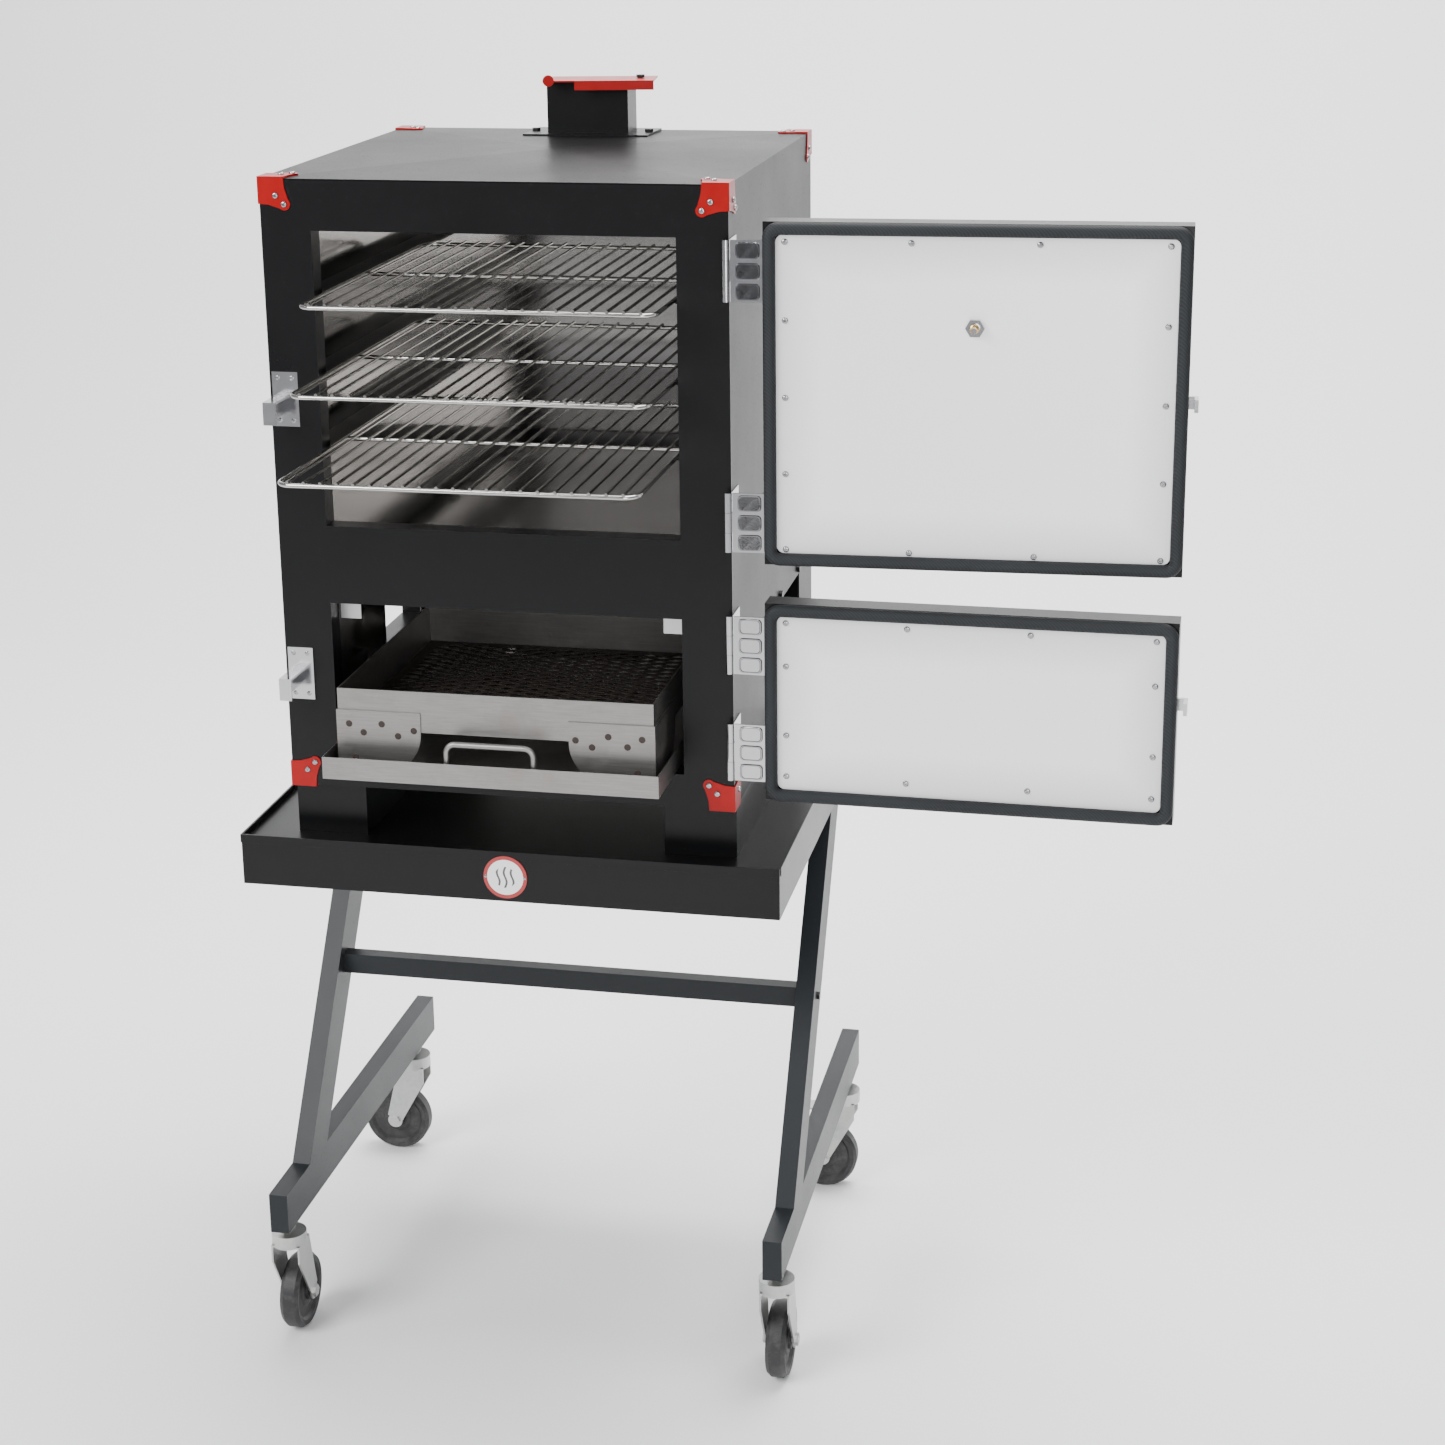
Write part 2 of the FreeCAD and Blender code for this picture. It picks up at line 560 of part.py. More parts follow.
def leg_front(height):
    """Where the front line of a leg stands at a height."""
    return f"leg_foot + leg_rake * (({height}) + bar_drop)"


# ---------------------------------------------------------------- racks

def make_runners():
    """Angle rails on the side liners, one pair under each rack."""
    rails = []
    for rack in RACKS:
        top = f"rack_{rack}_height - rack_wire - slide_gap"
        along = ("liner_start", "chamber_back")
        ledge = block("runner_ledge_box", ("half_chamber - runner_ledge", "half_chamber"), along,
                      (f"{top} - runner_sheet", top))
        drop = block("runner_drop_box", ("half_chamber - runner_sheet", "half_chamber"), along,
                     (f"{top} - runner_drop", top))
        rails.append(fuse("runner_" + rack, [ledge, drop]))
    node(both_sides("runner_pairs", group("runner_side", rails), (1, 0, 0)), "rack_runners")


def wire_loop(name, width, depth, wire, corner):
    """A rounded rectangle of round wire in the XY plane, centred in X and starting at Y = 0."""
    half = f"(({width}) / 2 - ({wire}))"
    near = f"({wire})"
    far = f"(({depth}) - ({wire}))"
    pieces = []
    for side, angle_front, angle_back in ((1, -90, 0), (-1, 180, 90)):
        pieces.append(rod(name + "_side", "y", (f"{side} * {half}", f"{near} + {corner}", "0"),
                          f"{far} - {near} - 2 * {corner}", wire))
        for along, angle in ((f"{near} + {corner}", angle_front), (f"{far} - {corner}", angle_back)):
            pieces.append(elbow(name + "_elbow", (f"{side} * ({half} - {corner})", along, "0"), corner, wire,
                                about_z(angle)))
    for along in (near, far):
        pieces.append(rod(name + "_end", "x", (f"{corner} - {half}", along, "0"),
                          f"2 * ({half} - {corner})", wire))
    return pieces


def make_rack(rack):
    """Wire rack: a bent frame, one crossbar and rods from front to back on top."""
    pieces = wire_loop(f"rack_{rack}", "rack_width", "rack_depth", "rack_wire", "rack_corner")
    pieces.append(rod(f"rack_{rack}_crossbar", "x", ("rack_wire - rack_width / 2", "rack_depth / 2", "0"),
                      "rack_width - 2 * rack_wire", "rack_wire"))
    for index in range(ROD_COUNT):
        across = f"rod_pitch * {index - (ROD_COUNT - 1) / 2}"
        pieces.append(rod(f"rack_{rack}_rod", "y", (across, "0", "rack_wire + rod_wire / 2"),
                          "rack_depth", "rod_wire"))
    node(fuse(f"rack_{rack}_fuse", pieces), f"rack_{rack}",
         ("0", f"rack_home - rack_{rack}_pull", f"rack_{rack}_height"))


# ---------------------------------------------------------------- firebox

def make_deflector():
    """Drip and heat plate over the fire, flanged to the liners, with two front tabs."""
    bottom = "deflector_height"
    plate = block("deflector_plate", centred("half_chamber"), ("liner_start", "chamber_back - floor_gap"),
                  (bottom, f"{bottom} + skin_sheet"))
    pieces = [plate]
    for side in SIDES.values():
        pieces.append(block("deflector_flange_box",
                            mirrored(side, "half_chamber - skin_sheet", "half_chamber"),
                            ("liner_start", "chamber_back - floor_gap"), (bottom, f"{bottom} + deflector_flange")))
        pieces.append(block("deflector_tab_box",
                            mirrored(side, "half_opening - deflector_tab - tab_inset", "half_opening - tab_inset"),
                            ("liner_start", "liner_start + skin_sheet"),
                            (f"{bottom} - tab_drop", bottom)))
    node(fuse("deflector_fuse", pieces), "heat_deflector")


def make_ash_pan():
    """Folded tray with a bent wire handle behind its front wall; Y = 0 at the front."""
    outer = block("pan_outer", centred("pan_width / 2"), ("0", "pan_depth"), ("0", "pan_wall"))
    inner = block("pan_inner", centred("pan_width / 2 - pan_sheet"), ("pan_sheet", "pan_depth - pan_sheet"),
                  ("pan_sheet", "pan_wall"))
    back = "pan_sheet + 2 * handle_wire"
    crest = "pan_wall + handle_rise - handle_wire"
    half = "(handle_span / 2)"
    parts = [rod("handle_crest", "x", (f"handle_bend - {half}", back, crest),
                 f"2 * ({half} - handle_bend)", "handle_wire")]
    upright = FreeCAD.Rotation(FreeCAD.Vector(1, 0, 0), 90)
    for side, angle in ((1, 0), (-1, 90)):
        parts.append(rod("handle_post", "z", (f"{side} * {half}", back, "pan_sheet / 2"),
                         f"{crest} - handle_bend - pan_sheet / 2", "handle_wire"))
        parts.append(elbow("handle_elbow", (f"{side} * ({half} - handle_bend)", back, f"{crest} - handle_bend"),
                           "handle_bend", "handle_wire", upright.multiply(about_z(angle))))
    node(fuse("pan_fuse", [cut("pan_cut", outer, inner)] + parts), "ash_pan", pan_place())


def pan_place(lift="0"):
    return ("0", "pan_home - pan_pull", f"firebox_sill + slide_gap + {lift}")


def make_basket():
    """Charcoal basket: four walls on quarter-round corner feet; Y = 0 at the front wall."""
    outer = block("basket_outer", centred("basket_width / 2"), ("0", "basket_depth"),
                  ("basket_lift", "basket_lift + basket_wall"))
    inner = block("basket_inner", centred("basket_width / 2 - basket_sheet"),
                  ("basket_sheet", "basket_depth - basket_sheet"),
                  ("basket_lift", "basket_lift + basket_wall"))
    arc = "(foot_width - foot_flat)"
    height = "(basket_lift + foot_lap)"
    outside = "(basket_width / 2 + basket_sheet)"
    upright = FreeCAD.Rotation(FreeCAD.Vector(1, 0, 0), 90)
    sideways = FreeCAD.Rotation(FreeCAD.Vector(0, 1, 0), -90)
    foot = [
        block("foot_front", (f"{outside} - foot_flat", outside), ("0 - basket_sheet", "0"), ("0", height)),
        block("foot_front_lap", (f"{outside} - foot_width", outside), ("0 - basket_sheet", "0"), (arc, height)),
        sector("foot_front_arc", (f"{outside} - foot_flat", "0", arc), arc, upright.multiply(about_z(180))),
        block("foot_side", ("basket_width / 2", outside), ("0 - basket_sheet", "foot_flat"), ("0", height)),
        block("foot_side_lap", ("basket_width / 2", outside), ("0 - basket_sheet", "foot_width"), (arc, height)),
        sector("foot_side_arc", (outside, "foot_flat", arc), arc, sideways.multiply(about_z(90))),
    ]
    right = group("feet_right", [fuse("foot_corner", foot),
                                 mirror("foot_back", doc.getObject("foot_corner"), (0, 1, 0),
                                        ("0", "basket_depth / 2", "0"))])
    feet = both_sides("feet_all", right, (1, 0, 0))
    place = pan_place("pan_sheet + slide_gap")
    place = (place[0], place[1] + " + basket_setback", place[2])
    node(fuse("basket_fuse", [cut("basket_cut", outer, inner), feet]), "charcoal_basket", place)
    make_grate(place)


def sector(name, centre, radius, turn):
    """A quarter disc of the basket's sheet."""
    thing = doc.addObject("Part::Cylinder", name)
    bind(thing, "Radius", radius)
    bind(thing, "Height", "basket_sheet")
    thing.Angle = 90
    thing.Placement = FreeCAD.Placement(FreeCAD.Vector(), turn)
    return put(thing, centre)


def make_grate(place):
    """Expanded-metal floor: one sheet pierced by staggered diamonds, cut short of the edges."""
    half_width = value("basket_width / 2 - basket_sheet")
    depth = value("basket_depth - 2 * basket_sheet")
    long_pitch = value("diamond_long")
    short_pitch = value("diamond_short")
    strand = value("diamond_strand")
    outline = [(-half_width, 0), (half_width, 0), (half_width, depth), (-half_width, depth)]
    wires = [closed_wire(outline)]
    reach_x = long_pitch / 2 - strand
    reach_y = short_pitch / 2 - strand * short_pitch / long_pitch - strand / 4
    columns = int(half_width / long_pitch * 4) + 2
    rows = int(depth / short_pitch * 2) + 2
    for column in range(-columns, columns + 1):
        for row in range(rows):
            if (column + row) % 2:
                continue
            x = column * long_pitch / 2
            y = row * short_pitch / 2
            if abs(x) + reach_x > half_width - strand or not strand < y - reach_y < y + reach_y < depth - strand:
                continue
            wires.append(closed_wire([(x - reach_x, y), (x, y - reach_y), (x + reach_x, y), (x, y + reach_y)]))
    face = Part.makeFace(wires, "Part::FaceMakerBullseye")
    grate = doc.addObject("Part::Feature", "grate_sheet")
    grate.Shape = face.extrude(FreeCAD.Vector(0, 0, value("basket_sheet")))
    node(grate, "basket_grate", (place[0], place[1] + " + basket_sheet", place[2] + " + basket_lift"))


def closed_wire(points):
    corners = [FreeCAD.Vector(x, y, 0) for x, y in points]
    return Part.makePolygon(corners + corners[:1])


# ---------------------------------------------------------------- doors, in the door frame

def door_place():
    return ("hinge_x", "hinge_y", "0")


def door_node(thing, label, door):
    return node(thing, label, door_place(), f"{door}_swing")


def make_door_shell(door):
    """Folded pan: outer skin, four sides and a rim that carries the seal and the liner."""
    low, high = f"{door}_door_low", f"{door}_door_high"
    outer = block(f"{door}_shell_outer", ("hinge_reach", "free_edge"), ("rim_plane", "shell_back"), (low, high))
    inner = block(f"{door}_shell_inner", ("hinge_reach + door_skin", "free_edge - door_skin"),
                  ("rim_plane + door_skin", "shell_back - door_skin"),
                  (f"{low} + door_skin", f"{high} - door_skin"))
    mouth = block(f"{door}_shell_mouth", ("hinge_reach + door_rim", "free_edge - door_rim"),
                  ("rim_plane", "rim_plane + door_skin"), (f"{low} + door_rim", f"{high} - door_rim"))
    tools = [inner, mouth]
    if door == "upper":
        tools.append(rod("gauge_shell_hole", "y", ("gauge_reach", "rim_plane", "gauge_height"),
                         "door_shell", "gauge_barrel"))
    door_node(cut(f"{door}_shell_cut", outer, *tools), f"{door}_door_shell", door)


def make_door_liner(door):
    """Bright inner sheet that closes the pan inside the seal."""
    low, high = f"{door}_door_low + liner_inset", f"{door}_door_high - liner_inset"
    outline = rectangle(("hinge_reach + liner_inset", "free_edge - liner_inset"), (low, high))
    sheet_body = prism(f"{door}_liner_body", "XZ_Plane", ("rim_plane - skin_sheet", "rim_plane"), [outline])
    round_upright_edges(sheet_body, (0, 1, 0), "liner_corner")
    if door == "upper":
        hole = rod("gauge_liner_hole", "y", ("gauge_reach", "rim_plane - skin_sheet", "gauge_height"),
                   "skin_sheet", "gauge_barrel")
        sheet_body = cut("upper_liner_cut", sheet_body, hole)
    door_node(sheet_body, f"{door}_door_liner", door)


def make_gasket(door):
    """Round rope seal bent round the door, seated flat on the rim."""
    low, high = f"{door}_door_low", f"{door}_door_high"
    spare = "bead_radius"
    seat = block(f"{door}_bead_seat", (f"0 - door_width / 2 - {spare}", f"door_width / 2 + {spare}"),
                 (f"0 - {spare}", f"{high} - {low} + {spare}"),
                 (f"0 - 2 * {spare}", "bead_radius - bead_proud"))
    pieces = wire_loop(f"{door}_bead", "door_width", f"({high} - {low})", "bead_radius", "bead_corner")
    loop = fuse(f"{door}_gasket_loop", [cut(f"{door}_bead_flat", piece, seat) for piece in pieces])
    loop.Placement = FreeCAD.Placement(FreeCAD.Vector(), FreeCAD.Rotation(FreeCAD.Vector(1, 0, 0), 90))
    put(loop, ("hinge_reach + door_width / 2", "rim_plane - bead_proud + bead_radius", low))
    door_node(group(f"{door}_gasket_group", [loop]), f"{door}_gasket", door)


def screw_spots(door):
    """Pan heads round the liner: four along the top and bottom, the rest between them at the sides."""
    left, right = "(hinge_reach + row_inset)", "(free_edge - row_inset)"
    low = f"({door}_door_low + {door}_row_rise)"
    high = f"({door}_door_high - row_inset + row_drop)"
    spots = []
    for index in range(4):
        across = f"{left} + ({right} - {left}) * {index} / 3"
        spots += [(across, low), (across, high)]
    for share in ((0.25, 0.5, 0.75) if door == "upper" else (0.27, 0.72)):
        up = f"{low} + ({high} - {low}) * {share}"
        spots += [(left, up), (right, up)]
    return spots


def make_door_screws(door):
    """Liner screws, and the shouldered bolt on which the latch turns."""
    screws = [rod(f"{door}_screw", "y", (across, "rim_plane - skin_sheet - screw_head", up),
                  "screw_head", "screw_radius") for across, up in screw_spots(door)]
    pivot = ("free_edge - latch_inset", "shell_back", f"{door}_latch_height")
    reach = "latch_sheet + 2 * slide_gap"
    shank = rod(f"{door}_latch_bolt", "y", pivot, reach, "latch_pin")
    head = rod(f"{door}_latch_bolt_head", "y", (pivot[0], f"{pivot[1]} + {reach}", pivot[2]),
               "screw_head", "latch_pin * 2")
    screws.append(fuse(f"{door}_latch_bolt_whole", [shank, head]))
    door_node(group(f"{door}_screw_group", screws), f"{door}_door_screws", door)


def make_latch(door):
    """Turning lever on the outer face; its folded nose passes the free edge. Origin on the pivot."""
    low, high = "slide_gap", "slide_gap + latch_sheet"
    half = centred("latch_bar / 2")
    reach = "latch_inset + latch_nose"
    lever = block(f"{door}_lever", ("0 - latch_grip", reach), (low, high), half)
    hub = rod(f"{door}_hub", "y", ("0", low, "0"), "latch_sheet", "latch_bar * 0.75")
    grip = block(f"{door}_grip", ("0 - latch_grip", "latch_bar - latch_grip"), (low, f"{high} * 3"), half)
    nose = block(f"{door}_nose", (f"{reach} - latch_sheet", reach), ("0 - nose_depth", high), half)
    bore = rod(f"{door}_latch_bore", "y", ("0", low, "0"), "latch_sheet", "latch_pin + run_gap")
    lever = cut(f"{door}_latch_cut", fuse(f"{door}_latch_fuse", [lever, hub, grip, nose]), bore)
    swing = f"{door}_swing"
    reach_x, reach_y = "free_edge - latch_inset", "shell_back"
    place = (f"hinge_x + ({reach_x}) * cos({swing} * 1 deg) - {reach_y} * sin({swing} * 1 deg)",
             f"hinge_y + ({reach_x}) * sin({swing} * 1 deg) + {reach_y} * cos({swing} * 1 deg)",
             f"{door}_latch_height")
    node(lever, f"{door}_latch", place, swing)


def make_thermometer():
    """Dial on the outer face, threaded barrel through the door, nut and probe inside."""
    dial = rod("gauge_dial_disc", "y", ("gauge_reach", "shell_back", "gauge_height"),
               "gauge_depth", "gauge_dial")
    barrel = rod("gauge_barrel_rod", "y", ("gauge_reach", "rim_plane - skin_sheet - gauge_barrel * 1.5",
                                           "gauge_height"),
                 "door_shell + skin_sheet + gauge_barrel * 1.5", "gauge_barrel")
    stem = rod("gauge_stem", "y", ("gauge_reach", "rim_plane - probe_reach", "gauge_height"),
               "probe_reach", "gauge_probe")
    stem = fuse("gauge_fuse", [dial, barrel, stem])
    nut = hexagon("gauge_nut_hex", "y", ("gauge_reach", "rim_plane - skin_sheet - gauge_barrel",
                                         "gauge_height"), "gauge_barrel", "gauge_nut")
    nut = cut("gauge_nut_cut", nut, doc.getObject("gauge_barrel_rod"))
    door_node(group("gauge_group", [stem, nut]), "thermometer", "upper")


def hinge_levels(door):
    return [f"{door}_hinge_low", f"{door}_hinge_high"]


def knuckle(name, base, low, high):
    return rod(name, "z", (base[0], base[1], low), f"({high}) - ({low})", "knuckle_radius")


def make_frame_leaves():
    """Cabinet halves of the hinges: a leaf on the side skin and two knuckles."""
    leaves = []
    for door in DOORS:
        for low in hinge_levels(door):
            third = "(hinge_height / 3)"
            high = f"{low} + hinge_height"
            outside = ("half_width", "half_width + hinge_sheet")
            pieces = [block("leaf_plate", outside, ("hinge_y + knuckle_radius + slide_gap", "hinge_leaf"),
                            (low, high))]
            for start, stop in ((low, f"{low} + {third} - slide_gap"),
                                (f"{high} - {third} + slide_gap", high)):
                pieces.append(knuckle("leaf_knuckle", ("hinge_x", "hinge_y"), start, stop))
                pieces.append(block("leaf_web", outside,
                                    ("hinge_y", "hinge_y + knuckle_radius + slide_gap"), (start, stop)))
            bore = rod("leaf_bore", "z", ("hinge_x", "hinge_y", low), "hinge_height", "hinge_pin")
            leaves.append(cut("leaf_cut", fuse("leaf_fuse", pieces), bore))
    node(group("leaf_group", leaves), "frame_hinge_leaves")


def make_hinge_pins():
    pins = [rod("hinge_pin_rod", "z", ("hinge_x", "hinge_y", low), "hinge_height", "hinge_pin")
            for door in DOORS for low in hinge_levels(door)]
    node(group("hinge_pin_group", pins), "hinge_pins")


def make_door_leaves(door):
    """Door halves of the hinges: an embossed plate folded back along the side of the shell."""
    leaves = []
    thick = ("0 - hinge_sheet / 2", "hinge_sheet / 2")
    clear = "knuckle_radius + 2 * slide_gap"
    for low in hinge_levels(door):
        third = "(hinge_height / 3)"
        high = f"{low} + hinge_height"
        middle = (f"{low} + {third}", f"{high} - {third}")
        pieces = [
            block("door_plate", (clear, "hinge_reach"), thick, (low, high)),
            block("door_web", ("0", clear), thick, middle),
            knuckle("door_knuckle", ("0", "0"), *middle),
            block("door_fold", ("hinge_reach - hinge_sheet", "hinge_reach"), (thick[0], "shell_back - door_skin"),
                  (low, high)),
        ]
        for index in range(3):
            start = f"{low} + {third} * {index} + slide_gap * 12"
            pieces.append(block("door_emboss", ("knuckle_radius * 2.6", "hinge_reach - knuckle_radius"),
                                ("0 - hinge_sheet", thick[0]), (start, f"{start} + {third} - slide_gap * 24")))
        bore = rod("door_leaf_bore", "z", ("0", "0", low), "hinge_height", "hinge_pin + pin_gap")
        leaves.append(cut("door_leaf_cut", fuse("door_leaf_fuse", pieces), bore))
    door_node(group(f"{door}_leaf_group", leaves), f"{door}_door_leaves", door)


def make_strikes():
    """Keeper plates on the left stile, each with a folded hook for the latch nose."""
    plates = []
    for door in DOORS:
        low = f"{door}_strike_low"
        left = "0 - half_width + strike_setback"
        plate = block("strike_plate", (left, f"{left} + strike_width"), ("0 - strike_sheet", "0"),
                      (low, f"{low} + strike_height"))
        cheek = block("strike_cheek", (left, f"{left} + strike_sheet"), ("0 - keeper_reach", "0"),
                      (f"{low} + strike_height / 8", f"{low} + strike_height / 2"))
        hook = block("strike_hook", (left, f"{left} + keeper_width"),
                     ("0 - keeper_reach", "strike_sheet - keeper_reach"),
                     (f"{low} + strike_height / 8", f"{low} + strike_height / 2"))
        shelf = block("strike_shelf", (left, f"{left} + keeper_width"), ("0 - keeper_reach", "0"),
                      (f"{low} + strike_height / 2", f"{low} + strike_height / 2 + strike_sheet"))
        plates.append(fuse("strike_fuse", [plate, cheek, hook, shelf]))
    node(group("strike_group", plates), "latch_strikes")


def strike_screws():
    heads = []
    for door in DOORS:
        for up in ("strike_hole", "strike_height - strike_hole"):
            for across in ("strike_hole", "strike_width - strike_hole"):
                heads.append(rod("strike_screw", "y",
                                 (f"0 - half_width + strike_setback + {across}",
                                  "0 - strike_sheet - screw_head / 2", f"{door}_strike_low + {up}"),
                                 "screw_head / 2", "screw_radius * 0.8"))
    return heads


def make_panel_screws():
    """Every pan head of the fixed cabinet and the two badge rivets."""
    rivets = [rod("badge_rivet", "y", (f"{side} * (badge_radius - rivet_inset)",
                                       "0 - tray_front - badge_sheet - screw_head / 2",
                                       "rim_height - badge_drop"), "screw_head / 2", "screw_radius / 2")
              for side in SIDES.values()]
    node(group("panel_screw_group", [bracket_screws()] + strike_screws() + rivets), "panel_screws")


# ---------------------------------------------------------------- cart

def make_tray():
    """Shallow tray with a deep apron; the deck lies just under the rim."""
    along = ("0 - tray_front", "tray_depth - tray_front")
    inner = ("tray_sheet - tray_front", "tray_depth - tray_front - tray_sheet")
    outer = block("tray_outer", centred("tray_width / 2"), along, ("rim_height - tray_apron", "rim_height"))
    above = block("tray_above", centred("tray_width / 2 - tray_sheet"), inner, ("deck_height", "rim_height"))
    below = block("tray_below", centred("tray_width / 2 - tray_sheet"), inner,
                  ("rim_height - tray_apron", "deck_height - tray_sheet"))
    node(cut("tray_cut", outer, above, below), "deck_tray")
    badge = rod("badge_disc", "y", ("0", "0", "0"), "badge_sheet", "badge_radius")
    node(group("badge_group", [badge]), "badge",
         ("0", "0 - tray_front - badge_sheet", "rim_height - badge_drop"))


def make_legs():
    """Raked legs from the base bars up to the underside of the deck."""
    foot, head = "0 - bar_drop", "deck_height - tray_sheet"
    outline = [(leg_front(foot), foot), (leg_front(foot) + " + leg_depth", foot),
               (leg_front(head) + " + leg_depth", head), (leg_front(head), head)]
    for side_name, side in SIDES.items():
        node(prism(side_name + "_leg_body", "YZ_Plane", mirrored(side, "track_inner", "track_outer"),
                   [outline]), side_name + "_leg")


def hollow_bar(name, x_span, y_span, z_span, label):
    """A box tube with closed ends."""
    outer = block(name + "_outer", x_span, y_span, z_span)
    inner = [(f"{low} + tube_wall", f"{high} - tube_wall") for low, high in (x_span, y_span, z_span)]
    node(cut(name + "_cut", outer, block(name + "_inner", *inner)), label)


def make_bars():
    for side_name, side in SIDES.items():
        hollow_bar(side_name + "_bar", mirrored(side, "track_inner", "track_outer"),
                   ("0 - bar_front", "bar_length - bar_front"), ("0 - bar_drop - bar_height", "0 - bar_drop"),
                   side_name + "_base_bar")
    middle = crossbar_middle()
    hollow_bar("crossbar", centred("track_inner"),
               (f"{middle} - crossbar_depth / 2", f"{middle} + crossbar_depth / 2"),
               ("0 - crossbar_drop - crossbar_height", "0 - crossbar_drop"), "crossbar")


# ---------------------------------------------------------------- casters, in the caster frame

def caster_place(side, end):
    return (f"{side} * track_half", f"caster_{end}", "0 - bar_drop - bar_height")


def make_caster_stems():
    stems = []
    for side, end in CASTERS.values():
        across, along, up = caster_place(side, end)
        length = "caster_gap + head_depth"
        stem = rod("stem_rod", "z", (across, along, f"{up} - ({length})"), length, "stem_radius")
        nut = hexagon("stem_nut", "z", (across, along, f"{up} - caster_gap * 0.7"), "caster_gap * 0.7",
                      "stem_radius * 1.7")
        stems.append(fuse("stem_fuse", [stem, nut]))
    node(group("stem_group", stems), "caster_stems")


def make_fork(caster, side, end):
    """Swivel head, folded fork and the axle bolt that it holds."""
    low = "0 - caster_gap - head_depth"
    head = rod(caster + "_head", "z", ("0", "0", low), "head_depth", "head_radius")
    cheek = [("fork_boss * 1.6", low), ("0 - fork_boss * 2", low),
             ("0 - caster_trail - fork_boss", "fork_boss * 0.8 - axle_drop"),
             ("0 - caster_trail", "0 - axle_drop"),
             ("fork_boss - caster_trail", "0 - axle_drop"), ("fork_boss * 1.6", f"{low} - fork_boss * 2")]
    pieces = [head, block(caster + "_crown", ("0 - fork_boss * 2", "fork_boss * 1.6"),
                          centred("cheek_inner + fork_sheet"), (low, f"{low} + fork_sheet"))]
    for hand in SIDES.values():
        span = mirrored(hand, "cheek_inner", "cheek_inner + fork_sheet")
        pieces.append(prism(caster + "_cheek", "XZ_Plane", span, [cheek]))
        pieces.append(rod(caster + "_boss", "y", ("0 - caster_trail", span[0], "0 - axle_drop"),
                          "fork_sheet", "fork_boss"))
    bore = rod(caster + "_bore", "z", ("0", "0", low), "head_depth + fork_sheet", "stem_radius + run_gap")
    half = "(cheek_inner + fork_sheet)"
    hole = rod(caster + "_axle_hole", "y", ("0 - caster_trail", f"0 - {half}", "0 - axle_drop"),
               f"2 * {half}", "axle_radius")
    tools = [bore, hole]
    if end == "rear":
        tools.append(rod(caster + "_pedal_hole", "y", (pedal_x(), f"0 - {half}", "0 - pedal_drop"),
                         f"2 * {half}", "pedal_pin + run_gap"))
    fork = cut(caster + "_fork_cut", fuse(caster + "_fork_fuse", pieces), *tools)
    bolt = [rod(caster + "_axle", "y", ("0 - caster_trail", f"0 - {half}", "0 - axle_drop"),
                f"2 * {half}", "axle_radius")]
    for start in (f"0 - {half} - bolt_head", half):
        bolt.append(hexagon(caster + "_axle_end", "y", ("0 - caster_trail", start, "0 - axle_drop"),
                            "bolt_head", "axle_radius * 1.8"))
    node(group(caster + "_fork_group", [fork, fuse(caster + "_bolt_fuse", bolt)]), caster + "_fork",
         caster_place(side, end), f"{end}_caster_turn")


def pedal_x():
    return "0 - fork_boss * 1.7"


def make_wheel(caster, side, end):
    """Solid rubber tyre on a ribless hub, turned about the axle."""
    bore, tread = "axle_radius + run_gap", "wheel_radius"
    body = doc.addObject("PartDesign::Body", caster + "_wheel_body")
    profile = [(bore, "hub_half"), ("hub_radius", "hub_half"), ("hub_radius", "hub_half * 0.65"),
               ("wheel_radius * 0.72", "hub_half * 0.55"), ("wheel_radius * 0.8", "wheel_half * 0.9"),
               ("wheel_radius * 0.92", "wheel_half"), (tread, "wheel_half * 0.6")]
    outline = profile + [(across, f"0 - ({up})") for across, up in reversed(profile)]
    sketch = sketch_on(body, caster + "_wheel_sketch", "XY_Plane", "0", [outline])
    turned = body.newObject("PartDesign::Revolution", caster + "_wheel_turn")
    turned.Profile = sketch
    turned.ReferenceAxis = (sketch, ["V_Axis"])
    turned.Angle = 360
    across, along, up = caster_place(side, end)
    angle = f"{end}_caster_turn * 1 deg"
    node(body, caster + "_wheel", (f"{across} - caster_trail * cos({angle})",
                                   f"{along} - caster_trail * sin({angle})", f"{up} - axle_drop"),
         f"{end}_caster_turn")


def make_pedal(caster, side, end):
    """Brake pedal that rocks on a pin through the cheeks; origin on the pin."""
    inner = centred("cheek_inner - slide_gap * 2")
    pin = rod(caster + "_pedal_rod", "y", ("0", "0 - cheek_inner - fork_sheet", "0"),
              "2 * (cheek_inner + fork_sheet)", "pedal_pin")
    plate = block(caster + "_pedal_plate", ("0 - pedal_reach / 2", "0"), inner, centred("pedal_pin / 2"))
    tread = block(caster + "_pedal_tread", ("0 - pedal_reach", "0 - pedal_reach / 2"),
                  centred("pedal_width / 2"), centred("pedal_pin / 2"))
    angle = f"{end}_caster_turn * 1 deg"
    across, along, up = caster_place(side, end)
    node(fuse(caster + "_pedal_fuse", [pin, plate, tread]), caster + "_brake",
         (f"{across} + ({pedal_x()}) * cos({angle})", f"{along} + ({pedal_x()}) * sin({angle})",
          f"{up} - pedal_drop"), f"{end}_caster_turn")


# ---------------------------------------------------------------- build, check and write

